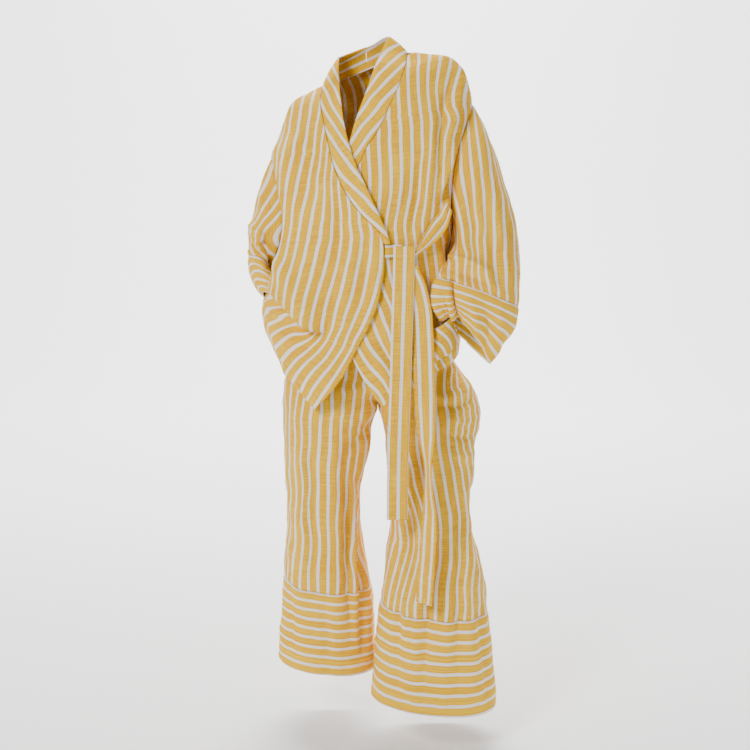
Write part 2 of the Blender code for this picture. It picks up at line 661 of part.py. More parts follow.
def sleeve_and_cuff(side, source, cuff_row, armhole, side_angle, gather):
    """A sleeve from its armhole seam, and the deep cuff sewn to its end, gathered at the wrist."""
    turn = np.linspace(0.0, 2 * math.pi, 2 * ARMHOLE_STEPS, endpoint=False)
    upper = np.linspace(0.0, cuff_row, 9)
    lower = np.linspace(cuff_row, len(source["half"]) - 1, 6)
    t = np.concatenate([upper, lower[1:]])
    loops = loop_points(source, *np.meshgrid(t, turn, indexing="ij"))
    loops = clear_of_body(loops, CLEAR_OF_BODY)
    start = armhole_loop(armhole, side_angle)[None]
    grid = np.concatenate([start, start * 0.7 + loops[:1] * 0.3, loops])
    centre = grid.mean(axis=1, keepdims=True)
    normals = facing(grid, normals_of(grid, True), centre)
    down = ease((t - cuff_row) / (t[-1] - cuff_row))[:, None]
    waves = np.sin(turn * CUFF_GATHERS) * gather * ease(-np.cos(turn)) * down
    grid[2:] += normals[2:] * waves[..., None]
    from_seam = ease(np.arange(len(grid)) / 4)[:, None]
    for way in (-1, 1):
        grid = folded(grid, normals, SLEEVE_FOLDS, way, from_seam)
    normals = facing(grid, normals_of(grid, True), centre)
    seam = 2 + len(upper)
    upper_grid = pull_back(grid[:seam], ARMHOLE_GAP, bottom=False, first=False, last=False)
    upper_grid = pull_back(upper_grid, SEAM_GAP, top=False, first=False, last=False)
    cuff_grid = pull_back(grid[seam - 1 :], SEAM_GAP, bottom=False, first=False, last=False)
    cloth_wall("sleeve_" + side, upper_grid, normals[:seam], WALL, YELLOW, closed=True)
    cloth_wall("cuff_" + side, cuff_grid, normals[seam - 1 :], BAND_WALL, PALE_YELLOW, closed=True)


def leg_points(source, z, angle, is_back):
    """Points of a leg: the angle runs from the outer seam to the inner one. Above the crotch it
    ends at the middle of the body instead."""
    outer, inner = by_height(source, "outer", z), by_height(source, "inner", z)
    start = CROTCH_BACK_Z if is_back else CROTCH_FRONT_Z
    open_to = math.pi / 2 * (1 + ease((start - z) / (start - CROTCH_Z)))
    turn = angle * open_to
    power = 2 / LEG_SQUARE
    end_across = np.sign(np.cos(open_to)) * np.abs(np.cos(open_to)) ** power
    half = (outer - inner) / (1 - end_across)
    across = np.sign(np.cos(turn)) * np.abs(np.cos(turn)) ** power
    x = outer - half * (1 - across)
    depth = by_height(source, "back" if is_back else "front", z)
    deep = np.abs(np.sin(turn)) ** power * np.where(is_back, depth, -depth)
    tilt = LEG_TILT * ease((CROTCH_Z - z) / 0.45)
    middle = (outer + inner) / 2
    return np.stack([x, by_height(source, "middle", z) + deep, z + tilt * (x - middle)], axis=-1)


def leg_panel(name, source, band_z, is_back, folds, colour, columns=11):
    upper = np.linspace(WAIST_Z, CROTCH_Z, 9)
    z = np.concatenate([upper, np.linspace(CROTCH_Z - 0.03, band_z, 11)])
    share = np.linspace(0.0, 1.0, columns)
    grid = leg_points(source, *np.meshgrid(z, share, indexing="ij"), is_back)
    centre = np.array([grid[..., 0].mean(), source["middle"].mean(), -0.8])
    normals = facing(grid, normals_of(grid, False), centre)
    grid = folded(grid, normals, folds, 1 if is_back else -1)
    grid = pull_back(grid, SEAM_GAP)
    normals = facing(grid, normals_of(grid, False), centre)
    return cloth_wall(name, grid, normals, WALL, colour)


def hem_band(name, source, band_z, folds, colour):
    """The deep hem band of a leg, with its stripes across, as one loop."""
    z = np.linspace(band_z, source["z"][0], 6)
    share = np.linspace(0.0, 1.0, 14)
    front = leg_points(source, *np.meshgrid(z, share, indexing="ij"), False)
    back = leg_points(source, *np.meshgrid(z, share[::-1], indexing="ij"), True)
    grid = np.concatenate([front, back[:, 1:-1]], axis=1)
    centre = grid.mean(axis=1, keepdims=True)
    normals = facing(grid, normals_of(grid, True), centre)
    grid = folded(grid, normals, folds, -1)
    grid = pull_back(grid, SEAM_GAP, bottom=False, first=False, last=False)
    normals = facing(grid, normals_of(grid, True), centre)
    return cloth_wall(name, grid, normals, BAND_WALL, colour, closed=True)


def waistband(colour):
    z = np.linspace(WAIST_Z, WAIST_Z + WAISTBAND_HEIGHT, 3)
    share = np.linspace(0.0, 1.0, 8)
    at_top = np.full(share.shape, WAIST_Z)
    right_front = leg_points(RIGHT_LEG, at_top, share, False)
    left_front = leg_points(LEFT_LEG, at_top, share, False)
    right_back = leg_points(RIGHT_LEG, at_top, share, True)
    left_back = leg_points(LEFT_LEG, at_top, share, True)
    loop = np.concatenate([right_front, left_front[::-1][1:], left_back[1:], right_back[::-1][1:-1]])
    grid = np.repeat(loop[None], len(z), axis=0)
    grid[..., 2] = z[:, None]
    normals = facing(grid, normals_of(grid, True), grid.mean(axis=1, keepdims=True))
    return cloth_wall("waistband", grid, normals, BAND_WALL, colour, closed=True)


def pocket(colour):
    """The hand pocket on the left front, which stands open at its slanted mouth."""
    across, down = np.meshgrid(np.linspace(0, 1, 9), np.linspace(0, 1, 6), indexing="xy")

    def between(corner):
        top = POCKET_MOUTH_IN[corner] * (1 - across) + POCKET_MOUTH_OUT[corner] * across
        low = POCKET_HEM_IN[corner] * (1 - across) + POCKET_HEM_OUT[corner] * across
        return top * (1 - down) + low * down

    bulge = np.sin(math.pi * across) * (1 - down)
    grid = on_front(between(0), between(1), "drop_left", 0.0)
    normals = facing(grid, normals_of(grid, False), np.array([0.0, 0.05, -0.5]))
    grid = grid + normals * POCKET_STAND_OFF
    grid[..., 1] -= POCKET_BULGE * bulge
    normals = facing(grid, normals_of(grid, False), np.array([0.0, 0.05, -0.5]))
    return cloth_wall("pocket_left", grid, normals, WALL, colour)


def hanging_tie(name, source, colour):
    """One hanging end of the tie, a flat strip that turns as it falls."""
    z = np.linspace(source["z"][-1], source["z"][0], 30)
    turn = by_height(source, "turn", z)
    middle = np.stack([by_height(source, "x", z), by_height(source, "y", z), z], axis=-1)
    way = np.stack([np.cos(turn), -np.sin(turn), np.zeros(z.shape)], axis=-1)
    across = np.linspace(-TIE_WIDTH / 2, TIE_WIDTH / 2, 3)
    grid = middle[:, None] + way[:, None] * across[None, :, None]
    return cloth_wall(name, grid, normals_of(grid, False), TIE_WALL, colour)


def tie_stub(colour):
    """The start of the tie, from the right front's edge to the back of the hanging end."""
    x, y = (np.repeat(STUB[axis][None, :], 3, axis=0) for axis in "xy")
    z = np.linspace(-STUB_HEIGHT / 2, STUB_HEIGHT / 2, 3)[:, None] + STUB_Z
    grid = np.stack([x, y, np.broadcast_to(z, x.shape)], axis=-1)
    return cloth_wall("tie_stub", grid, normals_of(grid, False), TIE_WALL, colour)


def tie_side(colour):
    """The strip from the knot up to the left side seam."""
    t = np.linspace(0, len(SIDE_STRIP["x"]) - 1, 9)
    across = np.linspace(-1, 1, 4)[None, :]
    x = down_rows(SIDE_STRIP, "x", t)[:, None] + down_rows(SIDE_STRIP, "half_x", t)[:, None] * across
    z = down_rows(SIDE_STRIP, "z", t)[:, None] + down_rows(SIDE_STRIP, "half_z", t)[:, None] * across
    y = np.repeat(down_rows(SIDE_STRIP, "y", t)[:, None], 4, axis=1)
    grid = np.stack([x, y, z], axis=-1)
    return cloth_wall("tie_side", grid, normals_of(grid, False), TIE_WALL, colour)


for old in list(bpy.data.objects):
    bpy.data.objects.remove(old)

back_panel("jacket_back", YELLOW)
front_panel(
    "jacket_front_right", RIGHT_ARMHOLE, RIGHT_EDGE, "drop_right", LAYER, math.pi,
    RIGHT_FRONT_FOLDS, YELLOW,
)
front_panel(
    "jacket_front_left", LEFT_ARMHOLE, LEFT_EDGE, "drop_left", 0.0, 0.0, LEFT_FRONT_FOLDS, YELLOW
)
collar_band("collar_right", RIGHT_EDGE, RIGHT_COLLAR, "drop_right", LAYER, math.pi, PALE_YELLOW)
collar_band("collar_left", LEFT_EDGE, LEFT_COLLAR, "drop_left", 0.0, 0.0, PALE_YELLOW)
sleeve_and_cuff("right", RIGHT_SLEEVE, RIGHT_CUFF_ROW, RIGHT_ARMHOLE, math.pi, RIGHT_GATHER)
sleeve_and_cuff("left", LEFT_SLEEVE, LEFT_CUFF_ROW, LEFT_ARMHOLE, 0.0, LEFT_GATHER)
pocket(PALE_YELLOW)
leg_panel("leg_right_front", RIGHT_LEG, RIGHT_BAND_Z, False, RIGHT_LEG_FOLDS, YELLOW)
leg_panel("leg_right_back", RIGHT_LEG, RIGHT_BAND_Z, True, RIGHT_LEG_FOLDS, YELLOW, 10)
leg_panel("leg_left_front", LEFT_LEG, LEFT_BAND_Z, False, LEFT_LEG_FOLDS, YELLOW)
leg_panel("leg_left_back", LEFT_LEG, LEFT_BAND_Z, True, LEFT_LEG_FOLDS, YELLOW)
hem_band("hem_band_right", RIGHT_LEG, RIGHT_BAND_Z, RIGHT_LEG_FOLDS, PALE_YELLOW)
hem_band("hem_band_left", LEFT_LEG, LEFT_BAND_Z, LEFT_LEG_FOLDS, PALE_YELLOW)
waistband(PALE_YELLOW)
tie_stub(PALE_YELLOW)
tie_side(PALE_YELLOW)
hanging_tie("tie_end_front", FRONT_END, PALE_YELLOW)
hanging_tie("tie_end_back", BACK_END, PALE_YELLOW)
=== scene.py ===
"""The looks of a striped linen wrap jacket and wide-leg trousers, worn.

Metres, +Z up, front along -Y. Right and left are as worn, so +X is the left side.
"""

import math

import bpy
import numpy as np
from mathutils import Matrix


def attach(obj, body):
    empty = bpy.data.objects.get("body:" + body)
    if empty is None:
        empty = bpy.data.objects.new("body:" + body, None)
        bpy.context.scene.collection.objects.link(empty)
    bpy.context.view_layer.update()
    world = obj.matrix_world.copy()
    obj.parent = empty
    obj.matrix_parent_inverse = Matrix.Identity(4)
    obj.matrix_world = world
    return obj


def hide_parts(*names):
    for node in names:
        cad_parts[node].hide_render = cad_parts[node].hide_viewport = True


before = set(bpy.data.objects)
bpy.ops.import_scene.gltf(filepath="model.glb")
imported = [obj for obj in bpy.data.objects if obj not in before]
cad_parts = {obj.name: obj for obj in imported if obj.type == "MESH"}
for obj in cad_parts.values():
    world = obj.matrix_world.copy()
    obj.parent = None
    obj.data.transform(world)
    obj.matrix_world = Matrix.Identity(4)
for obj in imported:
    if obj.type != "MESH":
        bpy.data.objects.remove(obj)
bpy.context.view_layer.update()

# Camera, floor and light
# A long lens a little above the waist looks slightly down. The light is a broad soft box in front
# of the set and a weaker one from each side, over a white floor that runs up behind.
PHOTO = 750
LENS_IN_PIXELS = 1464
SENSOR = 36.0
CAMERA_AT = np.array([0.018, -3.0, -0.04])
CAMERA_TILT = math.radians(11)
FLOOR_Z = -1.40
PAPER_NEAR, PAPER_WALL, PAPER_TOP = -6.0, 5.0, 7.0
PAPER_HALF = 9.0
PAPER_CURVE = 2.0
SET_MIDDLE = (0.0, 0.0, -0.6)

camera_data = bpy.data.cameras.new("camera")
camera_data.sensor_width = SENSOR
camera_data.lens = LENS_IN_PIXELS / PHOTO * SENSOR
camera = bpy.data.objects.new("camera", camera_data)
camera.location = CAMERA_AT
camera.rotation_euler = (math.pi / 2 - CAMERA_TILT, 0.0, 0.0)
bpy.context.collection.objects.link(camera)
bpy.context.scene.camera = camera


def backdrop():
    """A floor that curves up into a wall well behind the set."""
    turns = np.linspace(0.0, math.pi / 2, 12)
    curve = [(math.sin(a) - 1, 1 - math.cos(a)) for a in turns]
    profile = [(PAPER_NEAR, 0.0)]
    profile += [(PAPER_WALL + PAPER_CURVE * y, PAPER_CURVE * z) for y, z in curve]
    profile.append((PAPER_WALL, PAPER_TOP))
    points = [(x, y, FLOOR_Z + z) for x in (-PAPER_HALF, PAPER_HALF) for y, z in profile]
    n = len(profile)
    mesh = bpy.data.meshes.new("backdrop")
    mesh.from_pydata(points, [], [(i, n + i, n + i + 1, i + 1) for i in range(n - 1)])
    mesh.shade_smooth()
    material = bpy.data.materials.new("white_paper")
    material.use_nodes = True
    shader = material.node_tree.nodes["Principled BSDF"]
    shader.inputs["Base Color"].default_value = (0.93, 0.93, 0.93, 1.0)
    shader.inputs["Roughness"].default_value = 0.9
    mesh.materials.append(material)
    paper = bpy.data.objects.new("backdrop", mesh)
    bpy.context.collection.objects.link(paper)
    return paper


def soft_box(name, place, aim, size, watts):
    light = bpy.data.lights.new(name, "AREA")
    light.shape = "RECTANGLE"
    light.size, light.size_y = size
    light.energy = watts
    holder = bpy.data.objects.new(name, light)
    holder.location = place
    way = bpy.data.objects.new(name + "_aim", None)
    way.location = aim
    bpy.context.collection.objects.link(holder)
    bpy.context.collection.objects.link(way)
    track = holder.constraints.new("TRACK_TO")
    track.target = way
    track.track_axis, track.up_axis = "TRACK_NEGATIVE_Z", "UP_Y"


backdrop()
soft_box("front_box", (-1.9, -3.0, 1.7), SET_MIDDLE, (1.0, 1.0), 138)
soft_box("left_box", (2.9, -1.2, 0.4), SET_MIDDLE, (1.0, 2.2), 16)
soft_box("back_box", (0.6, 2.8, 1.8), SET_MIDDLE, (1.8, 1.8), 36)
soft_box("wall_box", (0.0, 2.2, 3.4), (0.0, 5.5, -0.4), (4.0, 1.0), 800)
world = bpy.data.worlds.new("studio")
world.use_nodes = True
sky = world.node_tree.nodes["Background"].inputs
sky["Color"].default_value = (1.0, 1.0, 1.0, 1.0)
sky["Strength"].default_value = 0.36
bpy.context.scene.world = world


# Back of the jacket
# One piece of yarn-dyed linen, golden yellow with a white stripe every 21.5 mm running down it.
# It is cut straight at the side seams, and its armholes are dropped. The cloth hangs in long soft
# folds from the shoulders.
WALL = 0.0016
SEAM_GAP = 0.0002
SEAM_DEPTH = 0.0011
SEAM_REACH = 0.004
SEAM_HOLD = 0.014
HEM_ROLL = 0.0012
HEM_WIDTH = 0.006
HEM_EDGE = 0.0005
FAR_FROM_HEM = 0.05
LAYER = 0.010
TURN = 0.035
PITCH = 0.0215
YELLOW = (0.86, 0.480, 0.003)
WHITE = (0.94, 0.86, 0.76)
NOT_LENGTHS = "square drop_right drop_left tip turn x0 y0 x1 y1 x2 y2".split()


def table(columns, text):
    """A short table as one array for each named column. Lengths are millimetres in the table and
    metres in the array. The columns of NOT_LENGTHS keep their numbers."""
    rows = np.array([line.split() for line in text.strip().split("\n")], float)
    named = zip(columns.split(), rows.T)
    return {name: column if name in NOT_LENGTHS else column / 1000 for name, column in named}


# The jacket's body from the neck down: each row is a tilted loop through a left and a right
# point, with the bulge to the front and to the back, how square the loop is, and how steeply
# each front hangs down towards its own edge.
BODY = table("left_x left_z right_x right_z front back square drop_right drop_left", """
-86 -30 84 34 12 76 1.6 0 0
-115 -44 125 31 50 88 1.5 0 0
-142 -59 161 27 78 94 1.55 0 0
-157 -77 187 8 96 100 1.65 0 0
-168 -102 203 -26 110 106 1.75 0 0
-180 -136 211 -66 122 112 1.9 0 0
-194 -176 205 -114 136 118 2 0 0
-192 -225 199 -166 146 122 2.1 0 0
-190 -280 191 -222 150 122 2.15 0 0
-193 -332 182 -275 150 120 2.15 0 0
-199 -376 175 -322 148 118 2.15 0 0
-205 -412 173 -362 148 122 2.15 0.02 0.02
-211 -448 179 -404 152 132 2.15 0.09 0.06
-215 -484 186 -444 158 142 2.15 0.24 0.14
-209 -524 191 -484 168 150 2.15 0.48 0.25
-194 -564 193 -524 176 158 2.15 0.74 0.36
-177 -600 190 -560 182 164 2.15 1 0.46
""")
LAST_ROW = len(BODY["front"]) - 1
RIGHT_ARMHOLE = (6.0, 11.2)
LEFT_ARMHOLE = (5.0, 10.2)
ARMHOLE_FRONT = math.radians(29)
ARMHOLE_BACK = math.radians(34)
ARMHOLE_STEPS = 60
ARMHOLE_ROUND = 0.8
BACK_ROWS_ABOVE, BACK_ROWS_BELOW, BACK_COLUMNS = 32, 56, 120

FOLD = "x0 y0 x1 y1 x2 y2 width height"
# Folds of the back, by x and z in millimetres
BACK_FOLDS = table(FOLD, """
-80 -130 -100 -330 -112 -580 22 11
-45 -200 -55 -400 -50 -640 16 -8
22 -180 15 -380 8 -640 24 -9
60 -300 52 -450 55 -620 14 6
110 -130 118 -320 122 -580 22 11
150 -250 160 -330 150 -480 14 -8
-150 -260 -160 -380 -150 -560 15 -8
-130 -80 -60 -110 10 -100 16 5
140 -40 80 -80 20 -85 14 -4
-170 -330 -100 -370 -30 -360 12 5
160 -310 100 -350 40 -345 12 -5
""")


def smooth(x, keys, values):
    """A curve through values at rising keys, with no overshoot between them."""
    keys, values = np.asarray(keys, float), np.asarray(values, float)
    x = np.clip(x, keys[0], keys[-1])
    steps = np.diff(keys)
    slopes = np.diff(values) / steps
    same_way = slopes[:-1] * slopes[1:] > 0
    total = np.where(same_way, slopes[:-1] + slopes[1:], 1.0)
    inner = np.where(same_way, 2 * slopes[:-1] * slopes[1:] / total, 0.0)
    tangents = np.concatenate([slopes[:1], inner, slopes[-1:]])
    i = np.clip(np.searchsorted(keys, x, side="right") - 1, 0, len(steps) - 1)
    s = (x - keys[i]) / steps[i]
    rise = values[i + 1] - values[i]
    start, end = tangents[i] * steps[i], tangents[i + 1] * steps[i]
    return values[i] + s * start + s**2 * (3 * rise - 2 * start - end) + s**3 * (start + end - 2 * rise)


def down_rows(source, column, t):
    return smooth(t, np.arange(len(source[column])), source[column])


def ease(x):
    x = np.clip(x, 0.0, 1.0)
    return x * x * (3 - 2 * x)


def powered(x, power):
    """A power that keeps the sign of x."""
    return np.sign(x) * np.abs(x) ** power


def body(t, angle, drop=None, lift=0.0):
    """Points of the jacket's body loop t rows down. The angle runs from the left side over the
    front, at a quarter turn, to the right side and round the back."""
    t, angle = np.broadcast_arrays(np.asarray(t, float), np.asarray(angle, float))
    left, right = down_rows(BODY, "left_x", t), down_rows(BODY, "right_x", t)
    power = 2 / down_rows(BODY, "square", t)
    across = powered(np.cos(angle), power)
    deep = np.abs(np.sin(angle)) ** power
    in_front = np.sin(angle) > 0
    front, back = down_rows(BODY, "front", t), down_rows(BODY, "back", t)
    x = (left + right) / 2 + (right - left) / 2 * across
    y = -TURN * across + deep * np.where(in_front, -front - lift, back + lift)
    share = (across + 1) / 2
    z = down_rows(BODY, "left_z", t) * (1 - share) + down_rows(BODY, "right_z", t) * share
    if drop == "drop_right":
        z = z - down_rows(BODY, drop, t) * (x - left)
    if drop == "drop_left":
        z = z - down_rows(BODY, drop, t) * (right - x)
    return np.stack([x, y, z], axis=-1)


def armhole_angle(t, rows, reach):
    """How far an armhole cuts into a panel at row t."""
    s = np.clip((t - rows[0]) / (rows[1] - rows[0]), 0.0, 1.0)
    return reach * np.sin(math.pi * s) ** ARMHOLE_ROUND


def armhole_rows(rows):
    """The rows that a panel and its sleeve share along an armhole, closer at its ends."""
    turn = np.linspace(0.0, math.pi, ARMHOLE_STEPS + 1)
    return rows[0] + (rows[1] - rows[0]) * (1 - np.cos(turn)) / 2


def unit(ways):
    return ways / np.maximum(np.linalg.norm(ways, axis=-1, keepdims=True), 1e-12)


def normals_of(grid):
    """Unit normals of a grid of points, averaged from its quads."""
    quads = unit(np.cross(grid[1:, 1:] - grid[:-1, :-1], grid[1:, :-1] - grid[:-1, 1:]))
    total = np.zeros(grid.shape)
    for rows in (slice(None, -1), slice(1, None)):
        for columns in (slice(None, -1), slice(1, None)):
            total[rows, columns] += quads
    return unit(total)


def outward(grid, centre, round_loop=False):
    """Normals that point away from a centre, joined across the seam of a grid that runs round."""
    normals = normals_of(grid)
    if round_loop:
        normals[:, 0] = normals[:, -1] = unit(normals[:, 0] + normals[:, -1])
    return normals if ((grid - centre) * normals).sum() > 0 else -normals


def seen(points):
    """Where the camera sees points, in the photo's pixels."""
    from_camera = points - CAMERA_AT
    cos, sin = math.cos(CAMERA_TILT), math.sin(CAMERA_TILT)
    depth = from_camera[..., 1] * cos - from_camera[..., 2] * sin
    height = from_camera[..., 1] * sin + from_camera[..., 2] * cos
    across = PHOTO / 2 + LENS_IN_PIXELS * from_camera[..., 0] / depth
    return across, PHOTO / 2 - LENS_IN_PIXELS * height / depth


PIXELS_PER_METRE = 500.0
ALONG_FOLD = 14
FOLD_STRENGTH = 1.3
FOLD_FACING = 2.5


def fold_height(x, y, folds, per_metre):
    """Heights of curved ridges and troughs, each through three points, that die out at both ends."""
    height = np.zeros(x.shape)
    s = np.linspace(0.0, 1.0, ALONG_FOLD)
    fade = np.sin(math.pi * np.clip(s, 0.06, 0.94)) ** 0.6
    for i in range(len(folds["x0"])):
        line = []
        for axis in "xy":
            start, middle, end = (folds[axis + k][i] / per_metre for k in "012")
            bend = 2 * middle - (start + end) / 2
            line.append((1 - s) ** 2 * start + 2 * s * (1 - s) * bend + s**2 * end)
        best = np.full(x.shape, 1e9)
        strength = np.zeros(x.shape)
        for k in range(ALONG_FOLD - 1):
            run, rise = line[0][k + 1] - line[0][k], line[1][k + 1] - line[1][k]
            along = ((x - line[0][k]) * run + (y - line[1][k]) * rise) / (run**2 + rise**2 + 1e-12)
            along = np.clip(along, 0.0, 1.0)
            away = np.hypot(x - line[0][k] - along * run, y - line[1][k] - along * rise)
            nearer = away < best
            best = np.where(nearer, away, best)
            strength = np.where(nearer, fade[k] * (1 - along) + fade[k + 1] * along, strength)
        profile = np.exp(-((best / folds["width"][i]) ** 2))
        height += FOLD_STRENGTH * folds["height"][i] * strength * profile
    return height


def front_folds(grid, normals, folds):
    """Folds drawn by the photo's pixels, on what faces the camera."""
    x, y = seen(grid)
    height = fold_height(x / PIXELS_PER_METRE, y / PIXELS_PER_METRE, folds, PIXELS_PER_METRE)
    return grid + normals * (height * ease(-normals[..., 1] * FOLD_FACING))[..., None]


def back_folds(grid, normals, folds):
    """Folds drawn by x and z in millimetres, on what faces backwards."""
    height = fold_height(grid[..., 0], grid[..., 2], folds, 1000)
    return grid + normals * (height * ease(normals[..., 1] * FOLD_FACING))[..., None]


CRUMPLE = table("size height", """
150 2.2
70 1.3
34 0.6
""")
CRUMPLE_WAVES = 6
CREASE_SIZE = 0.090
CREASE_HEIGHT = 0.0011


def soft_noise(points, size, seed):
    """A smooth field through space with values about -1 to 1, stretched upwards."""
    draw = np.random.default_rng(seed)
    total = np.zeros(points.shape[:-1])
    for _ in range(CRUMPLE_WAVES):
        way = draw.normal(size=3) * np.array([1.0, 1.0, 0.6])
        way *= 2 * math.pi / size / np.linalg.norm(way) * draw.uniform(0.7, 1.3)
        phase = draw.uniform(0.0, 2 * math.pi)
        bend = np.sin(points @ (way[[1, 2, 0]] * 0.7) + phase * 1.7)
        total += np.sin(points @ way + phase + 1.3 * bend)
    return total / CRUMPLE_WAVES * 1.8


def crumpled(grid, normals, amount=1.0):
    """The small dents and sharp little creases of worn linen."""
    height = np.zeros(grid.shape[:2])
    for k in range(len(CRUMPLE["size"])):
        height += CRUMPLE["height"][k] * soft_noise(grid, CRUMPLE["size"][k], 11 + k)
    crease = 1 - np.abs(soft_noise(grid, CREASE_SIZE, 31))
    height += CREASE_HEIGHT * np.clip(crease, 0.0, 1.0) ** 4
    return grid + normals * (amount * height)[..., None]


def edge_distances(grid):
    """How far each point lies from the top, bottom, first and last edge of its grid."""
    down, along = np.zeros(grid.shape[:2]), np.zeros(grid.shape[:2])
    down[1:] = np.cumsum(np.linalg.norm(np.diff(grid, axis=0), axis=-1), axis=0)
    along[:, 1:] = np.cumsum(np.linalg.norm(np.diff(grid, axis=1), axis=-1), axis=1)
    return {"top": down, "bottom": down[-1:] - down, "first": along, "last": along[:, -1:] - along}


def pulled_back(grid, edges):
    """Draws sewn edges in a little, which leaves a fine gap at each seam."""
    grid = grid.copy()
    across = grid.swapaxes(0, 1)
    from_edge = {"top": grid, "bottom": grid[::-1], "first": across, "last": across[::-1]}
    for name in edges.split():
        lines = from_edge[name]
        lines[0] += unit(lines[1] - lines[0]) * SEAM_GAP
    return grid


def cloth(name, grid, normals, count, slot, sewn="", hems="", wall=WALL):
    """One piece of cloth as a closed thin shell. Its cloth coordinates are metres across the
    stripes, with a white one at each whole pitch, metres along, and metres from a hem."""
    away = edge_distances(grid)
    grid = pulled_back(grid, sewn)
    dip = np.zeros(grid.shape[:2])
    for edge in sewn.split():
        dip = np.maximum(dip, SEAM_DEPTH * np.exp(-((away[edge] / SEAM_REACH) ** 2)))
    grid = grid - normals * dip[..., None]
    from_hem = np.full(grid.shape[:2], FAR_FROM_HEM)
    for edge in hems.split():
        from_hem = np.minimum(from_hem, away[edge])
    roll = np.exp(-((from_hem / HEM_WIDTH) ** 2)) * (from_hem > HEM_EDGE)
    half = wall / 2 + HEM_ROLL / 2 * roll

    rows, columns = grid.shape[:2]
    outer, inner = grid + normals * half[..., None], grid - normals * half[..., None]
    points = np.concatenate([outer.reshape(-1, 3), inner.reshape(-1, 3)])
    index = np.arange(rows * columns).reshape(rows, columns)
    quads = np.stack([index[:-1, :-1], index[1:, :-1], index[1:, 1:], index[:-1, 1:]], axis=-1)
    quads = quads.reshape(-1, 4)
    back = quads[:, ::-1] + rows * columns
    rims = []
    for line in (index[0], index[-1][::-1], index[:, 0][::-1], index[:, -1]):
        a, b = line[:-1], line[1:]
        rims.append(np.stack([a, b, b + rows * columns, a + rows * columns], axis=-1))
    faces = np.concatenate([quads, back] + rims)
    mesh = bpy.data.meshes.new(name + "_cloth")
    mesh.from_pydata(points.tolist(), [], faces.tolist())
    a, b, c = points[faces[:, 0]], points[faces[:, 1]], points[faces[:, 2]]
    if (a * np.cross(b, c)).sum() + (a * np.cross(c, points[faces[:, 3]])).sum() < 0:
        mesh.flip_normals()
    mesh.shade_smooth()
    along = away["top"].mean(axis=1, keepdims=True) * np.ones((1, columns))
    spread = np.stack([count * PITCH, along, from_hem], axis=-1).reshape(-1, 3)
    attribute = mesh.attributes.new("cloth", "FLOAT_VECTOR", "POINT")
    attribute.data.foreach_set("vector", np.concatenate([spread, spread]).ravel())
    mesh.materials.append(LINENS[slot])
    piece = bpy.data.objects.new(mesh.name, mesh)
    bpy.context.collection.objects.link(piece)
    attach(piece, "root")
    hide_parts(name)
    return piece


class Wire:
    """A shader socket that takes part in sums, for numbers only."""

    def __init__(self, tree, socket):
        self.tree, self.socket = tree, socket

    def math(self, operation, *others, turned=False):
        node = self.tree.nodes.new("ShaderNodeMath")
        node.operation = operation
        values = [*others, self] if turned else [self, *others]
        for socket, value in zip(node.inputs, values):
            feed(self.tree, socket, value)
        return Wire(self.tree, node.outputs[0])

    def up_to(self, most):
        return self.math("MINIMUM", most)

    def size(self):
        return self.math("ABSOLUTE")

    def __add__(self, other):
        return self.math("ADD", other)

    __radd__ = __add__

    def __sub__(self, other):
        return self.math("SUBTRACT", other)

    def __rsub__(self, other):
        return self.math("SUBTRACT", other, turned=True)

    def __mul__(self, other):
        return self.math("MULTIPLY", other)

    __rmul__ = __mul__


def feed(tree, socket, value):
    if isinstance(value, Wire):
        tree.links.new(value.socket, socket)
    else:
        socket.default_value = value


def add_node(tree, kind, settings=None, **inputs):
    """Any other node: its settings first, then the values or links of its sockets."""
    node = tree.nodes.new("ShaderNode" + kind)
    for name, value in (settings or {}).items():
        setattr(node, name, value)
    for name, value in inputs.items():
        feed(tree, node.inputs[name], value)
    return node


WHITE_SHARE = 0.31
STRIPE_BLUR = 0.044
THREAD = 0.0016
SLUB_LENGTH = 0.045
WEAVE = 0.0009
STITCH_FROM_HEM = 0.013
STITCH_WIDTH = 0.0011


